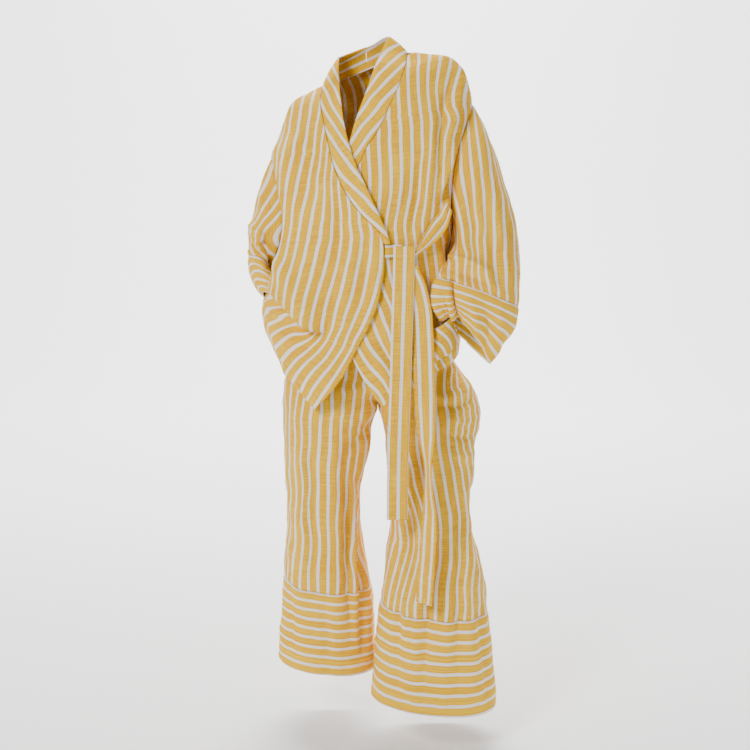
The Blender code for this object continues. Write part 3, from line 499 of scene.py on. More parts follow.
def linen(name, seed, depth=1.0):
    """Yarn-dyed linen: stripes with slightly ragged edges, thick and thin threads both ways, the
    plain weave, and a line of stitches beside a hem."""
    material = bpy.data.materials.new(name)
    material.use_nodes = True
    tree = material.node_tree
    shader = tree.nodes["Principled BSDF"]

    def wire(node, output=0):
        return Wire(tree, node.outputs[output])

    spread = wire(add_node(tree, "Attribute", {"attribute_name": "cloth"}), "Vector")
    parts = add_node(tree, "SeparateXYZ", Vector=spread)
    across, along, from_hem = (wire(parts, axis) for axis in "XYZ")

    def streaks(across_size, along_size, offset):
        x, y = across * (1 / across_size) + offset, along * (1 / along_size)
        place = wire(add_node(tree, "CombineXYZ", X=x, Y=y, Z=seed))
        return wire(add_node(tree, "TexNoise", Vector=place, Scale=1.0, Detail=2.0, Roughness=0.6))

    warp = streaks(THREAD, SLUB_LENGTH, 3.1)
    weft = streaks(SLUB_LENGTH, THREAD, 7.7)
    patches = streaks(0.09, 0.13, 1.3)
    ragged = streaks(0.02, 0.004, 5.9)

    wander = across + (ragged - 0.5) * 0.0007
    to_white = ((wander * (1 / PITCH) + 0.5).math("FLOORED_MODULO", 1.0) - 0.5).size()
    edge = WHITE_SHARE / 2
    past_edge = (to_white - (edge - STRIPE_BLUR / 2)) * (1 / STRIPE_BLUR)
    white = 1 - past_edge.up_to(1.0).math("MAXIMUM", 0.0)

    def tinted(colour, *shares):
        return tuple(min(1.0, c * share) for c, share in zip(colour, shares)) + (1.0,)

    def mixed(a, b, factor):
        node = add_node(tree, "Mix", {"data_type": "RGBA", "clamp_factor": True})
        for place, value in ((6, a), (7, b), (0, factor)):
            feed(tree, node.inputs[place], value)
        return wire(node, 2)

    beside = 1 - ((to_white - (edge + 0.05)).size() * 16.0).up_to(1.0)
    threads = (warp - 0.5) * 1.6 + (weft - 0.5) * 2.8 + (patches - 0.5) * 0.9 - beside * 0.35 + 0.52
    deep = tinted(YELLOW, 0.84 * depth, 0.70 * depth, 0.30)
    yellow = mixed(deep, tinted(YELLOW, 1.12 * depth, 1.24 * depth, 6.0), threads)
    threads = (weft - 0.5) * 1.6 + (warp - 0.5) * 0.8 + 0.5
    pale = mixed(tinted(WHITE, 0.93, 0.90, 0.90), tinted(WHITE, 1.04, 1.05, 1.06), threads)
    feed(tree, shader.inputs["Base Color"], mixed(yellow, pale, white))

    stitch = ((from_hem - STITCH_FROM_HEM).size() * (1 / STITCH_WIDTH)).up_to(1.0)
    weave = 1.0
    for way in (across, along):
        weave = (way * (2 * math.pi / WEAVE)).math("SINE") * weave
    relief = weave * 0.10 + (warp - 0.5) * 0.75 + (weft - 0.5) * 1.0 + stitch * 0.9
    bump = add_node(tree, "Bump", Height=relief, Strength=0.55, Distance=0.0006)
    feed(tree, shader.inputs["Normal"], wire(bump))
    feed(tree, shader.inputs["Roughness"], (weft - 0.5) * 0.16 + 0.86)
    feed(tree, shader.inputs["Specular IOR Level"], 0.18)
    return material


LINENS = {"linen_panel": linen("linen_panel", 2.0)}


def relaxed(grid, times):
    """Evens a grid out from row to row, with its first and last rows held."""
    for _ in range(times):
        grid[1:-1] = grid[1:-1] * 0.5 + (grid[:-2] + grid[2:]) * 0.25
    return grid


def held_at_seams(plain, folded, edges):
    """Lets folds die out towards the seams that other pieces share."""
    away = edge_distances(plain)
    for edge in edges.split():
        folded = plain + (folded - plain) * ease(away[edge] / SEAM_HOLD)[..., None]
    return folded


def row_counts(grid, offset_at=0.5, offset=0.0):
    """Stripe counts by length across the cloth, from a column that keeps one thread."""
    away = edge_distances(grid)["first"]
    column = int(round(offset_at * (grid.shape[1] - 1)))
    return (away - away[:, column : column + 1]) / PITCH + offset


def body_centre(y):
    return np.array([0.0, y, -0.3])


def back_panel():
    above = np.linspace(0.0, 1.0, BACK_ROWS_ABOVE)[:-1]
    below = np.linspace(0.0, 1.0, BACK_ROWS_BELOW)[1:]

    def rows_at(armhole):
        lower = armhole[1] + (LAST_ROW - armhole[1]) * below
        return np.concatenate([armhole[0] * above, armhole_rows(armhole), lower])

    right_rows, left_rows = rows_at(RIGHT_ARMHOLE), rows_at(LEFT_ARMHOLE)
    share = np.linspace(0.0, 1.0, BACK_COLUMNS)[None, :]
    t = right_rows[:, None] * (1 - share) + left_rows[:, None] * share
    start = math.pi + armhole_angle(right_rows, RIGHT_ARMHOLE, ARMHOLE_BACK)
    end = 2 * math.pi - armhole_angle(left_rows, LEFT_ARMHOLE, ARMHOLE_BACK)
    plain = body(t, start[:, None] * (1 - share) + end[:, None] * share)
    centre = body_centre(-0.05)
    grid = back_folds(plain, outward(plain, centre), BACK_FOLDS)
    grid = crumpled(grid, outward(grid, centre))
    grid = held_at_seams(plain, grid, "first last")
    piece = cloth(
        "jacket_back", grid, outward(grid, centre), row_counts(plain), "linen_panel",
        sewn="top first last", hems="bottom",
    )


back_panel()


# Right front of the jacket
# It lies on top. Its edge slants from the waist to a point at the hem, and it hangs out in a deep
# soft fold at its side, so that its lower piece fans out below the fold.
RIGHT_EDGE = table("z x", """
-661 -100
-620 -64
-584 -40
-540 -18
-498 4
-454 22
-418 30
-377 36
-351 36
-318 31
-282 -4
-244 -34
-207 -54
-154 -71
-101 -83
-60 -91
-30 -87
""")
FRONT_START = 0.25
HALVINGS = 40
BLOUSE = table("x z", """
-209 -402
-176 -424
-137 -456
-90 -496
""")
BLOUSE_OUT = 0.042
BLOUSE_SAG = 0.031
BLOUSE_RISE = 0.060
BLOUSE_STEP = 0.011
BLOUSE_SAG_RISE = 0.045
BLOUSE_SIDE, BLOUSE_SIDE_SPAN = -0.217, 0.014
BLOUSE_END, BLOUSE_END_SPAN = -0.066, 0.060
FAN_FROM, FAN_SPAN = -0.004, 0.010
FAN_LOOSE = 4.0
RIGHT_LAST_SURE = 0.04
FRONT_ROWS_ABOVE, FRONT_ROWS_BELOW = 34, 74
RIGHT_FRONT_COLUMNS, LEFT_FRONT_COLUMNS = 84, 96
RIGHT_FRONT_FOLDS = table(FOLD, """
297 108 291 165 278 240 18 6
311 120 304 200 291 272 13 -6
322 170 321 240 304 298 16 7
337 205 339 258 326 312 12 -6
350 220 351 275 335 330 15 7
366 240 363 292 348 335 11 -5
376 240 373 300 356 350 10 4
272 245 285 268 305 300 11 6
264 305 282 305 300 312 7 -5
266 318 288 315 309 328 8 6
270 334 292 326 314 333 6 -5
275 348 296 336 318 336 8 6
283 364 304 348 326 340 7 -5
293 378 314 362 340 345 10 6
308 394 330 376 350 352 10 -4
""")


def stripe_places(text):
    """White stripes by count, each with the places in the photo's pixels that it passes."""
    lines = [line.split(":") for line in text.strip().split("\n")]
    return [(int(count), [place.split(",") for place in places.split()]) for count, places in lines]


RIGHT_FRONT_STRIPES = stripe_places("""
0: 302,105 294,150 288,180 285,210 281,240 271,270
1: 312,105 304,150 298,180 292,210 288,240 281,270
2: 318,120 315,150 309,180 302,210 297,240 290,270 284,300
3: 323,135 320,165 317,195 311,225 305,255 297,285 293,300
4: 327,150 325,190 322,225 316,255 309,285 303,310
5: 331,180 332,225 328,255 320,285 312,315
6: 339,195 341,232 336,270 327,300 321,330
7: 348,195 351,240 346,270 339,300 332,330 324,345
8: 360,225 360,255 354,285 345,315 334,345
9: 371,240 368,270 362,300 350,330 345,345
10: 381,240 380,270 373,300 361,330 353,345
""")
RIGHT_FAN_STRIPES = stripe_places("""
0: 263,303 284,300
1: 265,314 294,307
2: 268,325 294,317
3: 271,336 298,324 311,328
4: 275,348 294,334 312,331
5: 281,362 298,345 314,335
6: 288,371 306,353 321,337
7: 296,375 309,360 324,345 332,330
8: 302,390 310,375 324,360 334,345
9: 312,390 323,375 335,360 345,345 350,330
10: 326,390 336,375 345,360 353,345 361,330
""")


class StripeChart:
    """A smooth surface, bent like a thin plate, through the counts of stripes at known places."""

    SCALE = 100.0
    EASE = 0.002

    def __init__(self, stripes):
        places = np.array([place for _, line in stripes for place in line], float)
        counts = np.array([count for count, line in stripes for _ in line], float)
        self.places = places / self.SCALE
        n = len(places)
        flat = np.column_stack([np.ones(n), self.places])
        system = np.zeros((n + 3, n + 3))
        system[:n, :n] = self.bend(self.places) + self.EASE * np.eye(n)
        system[:n, n:], system[n:, :n] = flat, flat.T
        self.weights = np.linalg.solve(system, np.concatenate([counts, np.zeros(3)]))

    def bend(self, at):
        away = np.linalg.norm(at[:, None] - self.places[None], axis=-1)
        return away**2 * np.log(np.maximum(away, 1e-9))

    def at(self, x, y):
        at = np.stack([x.ravel(), y.ravel()], axis=-1) / self.SCALE
        flat = np.column_stack([np.ones(len(at)), at])
        counts = self.bend(at) @ self.weights[:-3] + flat @ self.weights[-3:]
        return counts.reshape(x.shape)


# How squarely the cloth faces the camera, from 0 to 1, where the photo starts to count and over
# what span; how far the stripes may close up or spread; and how often they are evened out
LAST_SURE, SURE_SPAN = 0.22, 0.22
ROOM_FROM, ROOM_SPAN = 0.40, 0.45
LEAST_ROOM, MORE_ROOM = 0.25, 2.2
CLOSE_FROM, CLOSE_SPAN = 0.22, 0.50
TIMES_EVENED, TIMES_AWAY, TIMES_RATE = 5, 60, 400


def photo_counts(plain, normals, folded, counted, anchor=None, last_sure=LAST_SURE, loose=0.0):
    """Stripe counts that follow the photo where the cloth faces the camera, and the length of the
    cloth where it turns away. counted gives the count at each place that the camera sees, plain is
    the cloth before its folds, and loose is where the stripes may crowd together."""
    turned_to = (unit(CAMERA_AT - plain) * normals).sum(axis=-1)
    facing = ease((turned_to - last_sure) / SURE_SPAN)
    counts = counted(*seen(folded))
    steps = np.linalg.norm(np.diff(plain, axis=1), axis=-1) / PITCH
    steps = np.maximum(steps, 1e-6)
    change = np.diff(counts, axis=1)
    sure = (facing[:, 1:] + facing[:, :-1]) / 2
    sign = 1.0 if (change * sure).sum() > 0 else -1.0
    room = LEAST_ROOM + MORE_ROOM * ease((turned_to - ROOM_FROM) / ROOM_SPAN) + loose
    close = np.maximum(ease((turned_to - CLOSE_FROM) / CLOSE_SPAN), np.minimum(loose, 1.0))
    rate = np.clip(change / steps, sign - room[:, 1:], sign + room[:, 1:])
    rate = rate * close[:, 1:] + relaxed(rate.copy(), TIMES_RATE) * (1 - close[:, 1:])
    total = np.zeros(counts.shape)
    total[:, 1:] = np.cumsum(steps * (rate * sure + sign * (1 - sure)), axis=1)
    if anchor is None:
        anchor = int(np.argmax(facing.mean(axis=0)))
    else:
        anchor = int(anchor * (plain.shape[1] - 1))
    total = counts[:, anchor : anchor + 1] + total - total[:, anchor : anchor + 1]
    total = relaxed(total, TIMES_EVENED)
    return total * close + relaxed(total.copy(), TIMES_AWAY) * (1 - close)


def angle_at_edge(t, edge, drop, lift):
    """The angle where the loop meets an edge line of the front view, found by halving."""
    low, high = np.full(np.shape(t), 1e-4), np.full(np.shape(t), math.pi - 1e-4)
    for _ in range(HALVINGS):
        middle = (low + high) / 2
        p = body(t, middle, drop, lift)
        right_of_edge = p[..., 0] > smooth(p[..., 2], edge["z"], edge["x"])
        low, high = np.where(right_of_edge, middle, low), np.where(right_of_edge, high, middle)
    return (low + high) / 2


def front_grid(armhole, edge, drop, lift, side_angle, columns):
    above = np.linspace(FRONT_START, armhole[0], FRONT_ROWS_ABOVE)[:-1]
    below = np.linspace(armhole[1], LAST_ROW, FRONT_ROWS_BELOW)[1:]
    rows = np.concatenate([above, armhole_rows(armhole), below])
    share = np.linspace(0.0, 1.0, columns)[None, :]
    start = np.abs(side_angle - armhole_angle(rows, armhole, ARMHOLE_FRONT))
    end = angle_at_edge(rows, edge, drop, lift)
    return body(rows[:, None], start[:, None] * (1 - share) + end[:, None] * share, drop, lift)


def above_blouse(grid):
    return grid[..., 2] - smooth(grid[..., 0], BLOUSE["x"], BLOUSE["z"])


def bloused(grid):
    """Lets the right front hang out at its side and down over its own lower piece."""
    x = grid[..., 0]
    above = above_blouse(grid)
    under = ease(1 + above / BLOUSE_STEP)
    out = np.where(above > 0, np.exp(-above / BLOUSE_RISE), under)
    sag = np.where(above > 0, np.exp(-above / BLOUSE_SAG_RISE), under)
    reach = ease((x - BLOUSE_SIDE) / BLOUSE_SIDE_SPAN) * ease((BLOUSE_END - x) / BLOUSE_END_SPAN)
    grid = grid.copy()
    grid[..., 1] -= BLOUSE_OUT * out * reach
    grid[..., 2] -= BLOUSE_SAG * sag * reach
    return grid


def right_front():
    plain = front_grid(RIGHT_ARMHOLE, RIGHT_EDGE, "drop_right", LAYER, math.pi, RIGHT_FRONT_COLUMNS)
    centre = body_centre(0.05)
    above = above_blouse(plain)
    grid = front_folds(plain, outward(plain, centre), RIGHT_FRONT_FOLDS)
    grid = crumpled(grid, outward(grid, centre))
    grid = bloused(held_at_seams(plain, grid, "first last"))
    normals = outward(grid, centre)
    upper, fan = StripeChart(RIGHT_FRONT_STRIPES), StripeChart(RIGHT_FAN_STRIPES)
    below = ease((FAN_FROM - above) / FAN_SPAN)

    def counted(x, y):
        return upper.at(x, y) * (1 - below) + fan.at(x, y) * below

    counts = photo_counts(
        plain, outward(plain, centre), grid, counted, last_sure=RIGHT_LAST_SURE,
        loose=FAN_LOOSE * below,
    )
    piece = cloth(
        "jacket_front_right", grid, normals, counts, "linen_panel", sewn="top first", hems="bottom",
    )


right_front()


# Left front of the jacket
# It lies under the right front. The sleeve's weight drags it into upright folds beside the
# armhole, and the tie draws it together at the waist.
LEFT_EDGE = table("z x", """
-650 31
-626 12
-563 -24
-480 -62
-420 -92
-380 -108
-335 -105
-282 -70
-232 -40
-183 -14
-146 4
-117 24
-72 46
-20 69
24 82
34 83
""")
LEFT_FRONT_FOLDS = table(FOLD, """
452 78 443 118 438 162 9 -8
462 70 456 105 447 150 11 8
430 100 432 160 423 225 13 6
420 150 416 205 408 242 10 -5
454 145 445 172 438 194 7 11
457 160 449 186 441 206 6 -10
447 192 443 212 436 232 7 9
402 170 396 205 383 228 8 5
392 190 386 212 379 224 7 -4
436 240 442 275 447 312 9 8
448 245 452 280 454 312 7 -8
423 250 430 290 437 330 8 -6
362 338 376 358 392 384 9 5
370 320 382 345 394 368 9 -4
378 305 388 328 398 350 9 4
432 330 428 355 422 385 10 6
444 335 441 360 437 375 7 -6
""")
LEFT_FRONT_STRIPES = stripe_places("""
-3: 352,357 367,382 382,398
-2: 358,348 368,365 387,388
-1: 364,335 368,345 378,358 389,372
0: 360,180 372,319 376,332 382,345 389,357
1: 369,165 369,195 377,303 384,322 389,332
2: 379,150 380,195 378,225 382,286 391,307
3: 389,120 390,150 391,195 386,225
4: 399,105 401,150 400,195 396,240
5: 408,60 409,105 412,150 410,195 406,240
6: 418,60 420,105 423,150 420,195 415,240
7: 429,60 429,105 431,150 426,195 422,225 425,255 430,300 428,350
8: 440,60 438,105 436,150 434,195 433,210 435,255 438,285 439,340
9: 451,60 443,105 450,120 445,150 442,190 445,255 449,320
10: 458,75 453,105 458,120 453,135 451,180 454,255
""")


def left_front():
    plain = front_grid(LEFT_ARMHOLE, LEFT_EDGE, "drop_left", 0.0, 0.0, LEFT_FRONT_COLUMNS)
    centre = body_centre(0.05)
    grid = front_folds(plain, outward(plain, centre), LEFT_FRONT_FOLDS)
    grid = crumpled(grid, outward(grid, centre), 0.8)
    grid = held_at_seams(plain, grid, "first last")
    normals = outward(grid, centre)
    counts = photo_counts(plain, outward(plain, centre), grid, StripeChart(LEFT_FRONT_STRIPES).at)
    piece = cloth(
        "jacket_front_left", grid, normals, counts, "linen_panel", sewn="top first", hems="bottom",
    )


left_front()


# Hand pocket on the left front
# A patch of the same linen, set on the front below the waist. It bulges out at its slanted
# mouth, which is hemmed.
POCKET_MOUTH_OUT = (0.181, -0.470)
POCKET_MOUTH_IN = (0.131, -0.502)
POCKET_HEM_OUT = (0.184, -0.548)
POCKET_HEM_IN = (0.131, -0.566)
POCKET_STRIPES = stripe_places("""
0: 434,340 444,350 448,360
1: 439,331 449,341 453,353
2: 444,322 454,333 458,347
3: 453,315 459,325
""")
POCKET_STAND_OFF = 0.0022
POCKET_BULGE = 0.036
POCKET_FLUTTER = 0.004
POCKET_COLUMNS, POCKET_ROWS = 30, 26
MOST_ACROSS = 0.985


def on_front(x, z, drop, lift):
    """Points on a front panel at places of the front view, moved out by lift."""
    low, high = np.zeros(x.shape), np.full(x.shape, float(LAST_ROW))
    for _ in range(HALVINGS):
        t = (low + high) / 2
        left, right = down_rows(BODY, "left_x", t), down_rows(BODY, "right_x", t)
        share = np.clip((x - (left + right) / 2) / ((right - left) / 2), -MOST_ACROSS, MOST_ACROSS)
        angle = np.arccos(powered(share, down_rows(BODY, "square", t) / 2))
        p = body(t, angle, drop, lift)
        above = p[..., 2] > z
        low, high = np.where(above, t, low), np.where(above, high, t)
    p[..., 2] = z
    return p


def pocket():
    across, down = np.meshgrid(np.linspace(0, 1, POCKET_COLUMNS), np.linspace(0, 1, POCKET_ROWS))

    def between(corner):
        top = POCKET_MOUTH_IN[corner] * (1 - across) + POCKET_MOUTH_OUT[corner] * across
        low = POCKET_HEM_IN[corner] * (1 - across) + POCKET_HEM_OUT[corner] * across
        return top * (1 - down) + low * down

    bulge = np.sin(math.pi * across) * (1 - down)
    grid = on_front(between(0), between(1), "drop_left", 0.0)
    centre = np.array([0.0, 0.05, -0.5])
    grid = grid + outward(grid, centre) * POCKET_STAND_OFF
    grid[..., 1] -= POCKET_BULGE * bulge
    flutter = np.sin(4 * math.pi * across + 0.6) * down * np.sin(math.pi * across)
    grid[..., 1] -= POCKET_FLUTTER * flutter
    normals = outward(grid, centre)
    counts = StripeChart(POCKET_STRIPES).at(*seen(grid))
    piece = cloth("pocket_left", grid, normals, counts, "linen_panel", hems="top")


pocket()


# Collar bands
# A wide band of doubled linen on each side, joined at the centre back. The stripes run along it
# at a slight slant, and the band is sewn to the neck and to the edge of its front.
BAND_WALL = 0.0024
RIGHT_COLLAR = table("seam_z free_x free_z", """
-332 47 -332
-310 40 -308
-282 22 -268
-244 1 -222
-207 -18 -183
-154 -36 -128
-101 -47 -76
-60 -53 -24
-30 -55 30
""")
LEFT_COLLAR = table("seam_z free_x free_z", """
-318 -110 -300
-282 -90 -262
-232 -62 -202
-183 -32 -140
-146 -22 -105
-117 -12 -76
-72 2 -40
-20 16 0
24 33 40
34 44 68
""")
COLLAR_BACK_RISE = 0.048
COLLAR_BACK_LEAN = 0.014
COLLAR_CROWN = 0.004
COLLAR_TUCK = 0.002
COLLAR_OVERLAP = 0.008
COLLAR_SEAM_GAP = 0.0012
COLLAR_NECK = 0.10
COLLAR_TOP_Z = -0.010
COLLAR_ROLL = 0.004
COLLAR_CRUMPLE = 0.25
COLLAR_BEHIND, COLLAR_IN_FRONT, COLLAR_ACROSS = 44, 110, 16
COLLAR_BLEND = 12
RIGHT_COLLAR_STRIPES = stripe_places("""
0: 332,64 335,72 338,79
1: 328,77 335,89 342,105
2: 323,86 331,104 340,118 346,129
3: 321,102 329,118 339,133 352,151
4: 325,128 335,144 347,161 359,176
5: 331,158 341,175 354,188 367,200 372,207
6: 347,194 359,209 372,221 381,229
""")
LEFT_COLLAR_STRIPES = stripe_places("""
0: 390,33 397,38
1: 376,66 386,52 399,44
2: 367,92 379,74 396,59 409,50
3: 359,115 371,97 386,82 405,63
4: 351,143 362,126 377,109 396,88
5: 354,157 365,141 379,124
""")
LINENS["linen_trim"] = linen("linen_trim", 5.0, depth=1.03)


def collar_band(side, edge, collar, drop, lift, stripes):
    past_middle = COLLAR_OVERLAP if side == "right" else -COLLAR_OVERLAP
    shoulder = math.pi if side == "right" else 2 * math.pi
    seam_back = body(0.0, np.linspace(1.5 * math.pi + past_middle, shoulder, COLLAR_BEHIND)[:-1])
    level = np.array([1.0, 1.0, 0.0])
    seam_back += COLLAR_TUCK * (unit(-seam_back * level) - [0.0, 0.0, 2.0])
    neck_rise = collar["free_z"][-1] - collar["seam_z"][-1]
    neck_lean = abs(collar["free_x"][-1] - edge["x"][-1])
    share = np.linspace(0.0, 1.0, COLLAR_BEHIND)[:-1, None]
    inward = unit(-seam_back * level)
    lean = COLLAR_BACK_LEAN + (neck_lean - COLLAR_BACK_LEAN) * share
    rise = COLLAR_BACK_RISE + (neck_rise - COLLAR_BACK_RISE) * share
    free_back = seam_back + inward * lean + np.array([0.0, 0.0, 1.0]) * rise

    seam_z = np.linspace(collar["seam_z"][-1], collar["seam_z"][0], COLLAR_IN_FRONT)
    seam_x = smooth(seam_z, edge["z"], edge["x"])
    free_x = smooth(seam_z, collar["seam_z"], collar["free_x"])
    free_z = smooth(seam_z, collar["seam_z"], collar["free_z"])
    seam_front = on_front(seam_x, seam_z, drop, lift)
    below_neck = ease((collar["seam_z"][-1] - seam_z) / COLLAR_NECK)
    on_chest = on_front(free_x, np.minimum(free_z, COLLAR_TOP_Z), drop, lift + COLLAR_ROLL)[:, 1]
    free_y = on_chest * below_neck + seam_front[:, 1] * 0.5 * (1 - below_neck)
    free_front = np.stack([free_x, free_y, free_z], axis=-1)

    seam, free = np.concatenate([seam_back, seam_front]), np.concatenate([free_back, free_front])
    free = relaxed(free, COLLAR_BLEND)
    share = np.linspace(0.0, 1.0, COLLAR_ACROSS)[None, :]
    grid = seam[:, None] * (1 - share[..., None]) + free[:, None] * share[..., None]
    centre = np.array([0.0, 0.0, -0.1])
    normals = outward(grid, centre)
    crown = np.sin(math.pi * share) * COLLAR_CROWN * np.ones((len(grid), 1))
    grid = grid + normals * crown[..., None]
    grid[:, 0] += unit(grid[:, 1] - grid[:, 0]) * COLLAR_SEAM_GAP
    grid = crumpled(grid, normals, COLLAR_CRUMPLE)
    normals = outward(grid, centre)
    counts = StripeChart(stripes).at(*seen(grid))
    corner = len(seam_back)
    by_length = edge_distances(grid)["first"] / PITCH
    to_whole = np.round(counts[corner, 0]) - counts[corner, 0]
    to_middle = np.clip(1 - np.arange(len(grid)) / corner, 0.0, 1.0)[:, None]
    behind = counts[corner, 0] + to_whole * to_middle
    behind = behind + np.sign(counts[corner, -1] - counts[corner, 0]) * by_length
    in_front = ease((np.arange(len(grid)) - corner + COLLAR_BLEND) / COLLAR_BLEND)[:, None]
    counts = counts * in_front + behind * (1 - in_front)
    piece = cloth(
        f"collar_{side}", grid, normals, counts, "linen_trim", sewn="first", hems="last",
        wall=BAND_WALL,
    )


collar_band("right", RIGHT_EDGE, RIGHT_COLLAR, "drop_right", LAYER, RIGHT_COLLAR_STRIPES)
collar_band("left", LEFT_EDGE, LEFT_COLLAR, "drop_left", 0.0, LEFT_COLLAR_STRIPES)


# Sleeves and cuffs
# Wide straight sleeves hang from dropped armholes and bunch at their bend. Each ends in a
# deep cuff of doubled linen with its stripes across, a white one beside the seam, and narrows
# in gathers.
SLEEVE = "out_x out_y out_z in_x in_y in_z half tip arch"
LEFT_SLEEVE = table(SLEEVE, """
236 -30 -108 168 -40 -334 94 0 0
263 -40 -178 168 -58 -347 93 0 0
287 -52 -256 165 -78 -362 88 0.05 0
303 -64 -333 158 -92 -378 82 0.1 0
310 -80 -403 150 -116 -388 72 0.15 0
305 -98 -466 142 -140 -402 50 0.2 0
294 -104 -504 140 -146 -436 42 0.22 8
272 -106 -542 146 -148 -460 34 0.24 18
246 -104 -578 156 -144 -480 26 0.26 24
""")
RIGHT_SLEEVE = table(SLEEVE, """
-214 40 -222 -202 45 -396 84 0.05 0
-228 44 -276 -200 50 -404 86 0.1 0
-244 44 -330 -196 46 -412 84 0.25 0
-240 34 -364 -192 36 -422 78 0.45 0
-243 18 -392 -188 16 -434 68 0.6 0
-237 4 -414 -184 -2 -444 54 0.6 0
-227 -4 -434 -182 -12 -454 40 0.55 0
-214 -6 -452 -180 -14 -464 26 0.5 0
""")
LEFT_CUFF_ROW = 5
RIGHT_CUFF_ROW = 4
CUFF_GATHERS = 9
START_ROWS, SLEEVE_ROWS, CUFF_ROWS = 14, 62, 38
CUFF_STAND_OUT = 0.0016
LEFT_GATHER = 0.006
RIGHT_GATHER = 0.003
CLEAR_OF_BODY = -0.004
LEFT_CUFF_STRIPES = 6
RIGHT_CUFF_STRIPES = 5
LEFT_SLEEVE_FOLDS = table(FOLD, """
474 112 488 170 500 245 13 6
462 148 470 200 474 252 8 -8
455 175 462 218 470 258 9 9
484 175 492 236 498 286 10 -6
492 200 503 250 509 296 11 6
450 205 452 232 456 256 6 -6
447 254 465 262 490 272 9 14
454 270 470 281 498 295 7 -12
478 262 490 282 506 298 9 6
470 300 476 325 474 345 8 6
484 302 488 330 484 356 7 -5
498 310 500 330 494 350 8 5
443 276 440 298 446 320 9 12
452 270 453 298 459 322 6 -16
""")
RIGHT_SLEEVE_FOLDS = table(FOLD, """
249 222 258 230 270 232 7 8
249 236 259 243 270 246 6 -8
249 249 259 256 271 258 7 8
252 262 261 268 271 270 6 -5
274 140 268 175 262 205 10 5
""")
SLEEVE_BACK_FOLDS = table(FOLD, """
222 -150 236 -260 240 -400 14 8
262 -200 272 -320 270 -430 13 -7
196 -300 230 -370 262 -430 12 8
292 -280 294 -360 288 -440 12 6
180 -380 230 -400 280 -440 10 -7
""")


def loop_points(source, t, angle):
    """Points of a sleeve loop t rows down: the angle starts at the outer point and turns forward."""
    outer = np.stack([down_rows(source, "out_" + axis, t) for axis in "xyz"], axis=-1)
    inner = np.stack([down_rows(source, "in_" + axis, t) for axis in "xyz"], axis=-1)
    centre, reach = (outer + inner) / 2, (outer - inner) / 2
    tip = down_rows(source, "tip", t)
    forward = np.stack([np.zeros(tip.shape), -np.cos(tip), np.sin(tip)], axis=-1)
    half = down_rows(source, "half", t)[..., None]
    points = centre + reach * np.cos(angle)[..., None] + forward * half * np.sin(angle)[..., None]
    points[..., 2] += down_rows(source, "arch", t) * np.maximum(np.sin(angle), 0.0) ** 2
    return points


def clear_of_body(points, margin):
    """Points that lie inside the jacket's body, moved out sideways until they are clear of it."""
    z = points[..., 2]
    low, high = np.zeros(z.shape), np.full(z.shape, float(LAST_ROW))
    for _ in range(HALVINGS):
        t = (low + high) / 2
        left, right = down_rows(BODY, "left_x", t), down_rows(BODY, "right_x", t)
        share = np.clip((points[..., 0] - left) / (right - left), 0.0, 1.0)
        level = down_rows(BODY, "left_z", t) * (1 - share) + down_rows(BODY, "right_z", t) * share
        low, high = np.where(level > z, t, low), np.where(level > z, high, t)
    centre, half = (left + right) / 2, (right - left) / 2 + margin
    across = (points[..., 0] - centre) / half
    y = points[..., 1] + TURN * across
    deep = np.where(y < 0, down_rows(BODY, "front", t), down_rows(BODY, "back", t)) + margin
    power = down_rows(BODY, "square", t)
    inside = (np.abs(across) ** power + np.abs(y / deep) ** power) ** (1 / power)
    grow = np.where(inside < 1, 1 / np.maximum(inside, 0.2), 1.0)
    moved = points.copy()
    moved[..., 0] = centre + (points[..., 0] - centre) * grow
    moved[..., 1] = y * grow - TURN * across * grow
    return moved


def armhole_loop(rows, side):
    """The armhole seam as a loop: top, down the front, underarm, up the back, and to the top."""
    down = armhole_rows(rows)
    t = np.concatenate([down[:-1], down[::-1]])
    front = np.arange(len(t)) <= ARMHOLE_STEPS
    cut = np.where(
        front, armhole_angle(t, rows, ARMHOLE_FRONT), -armhole_angle(t, rows, ARMHOLE_BACK)
    )
    return body(t, cut if side == "left" else math.pi - cut)


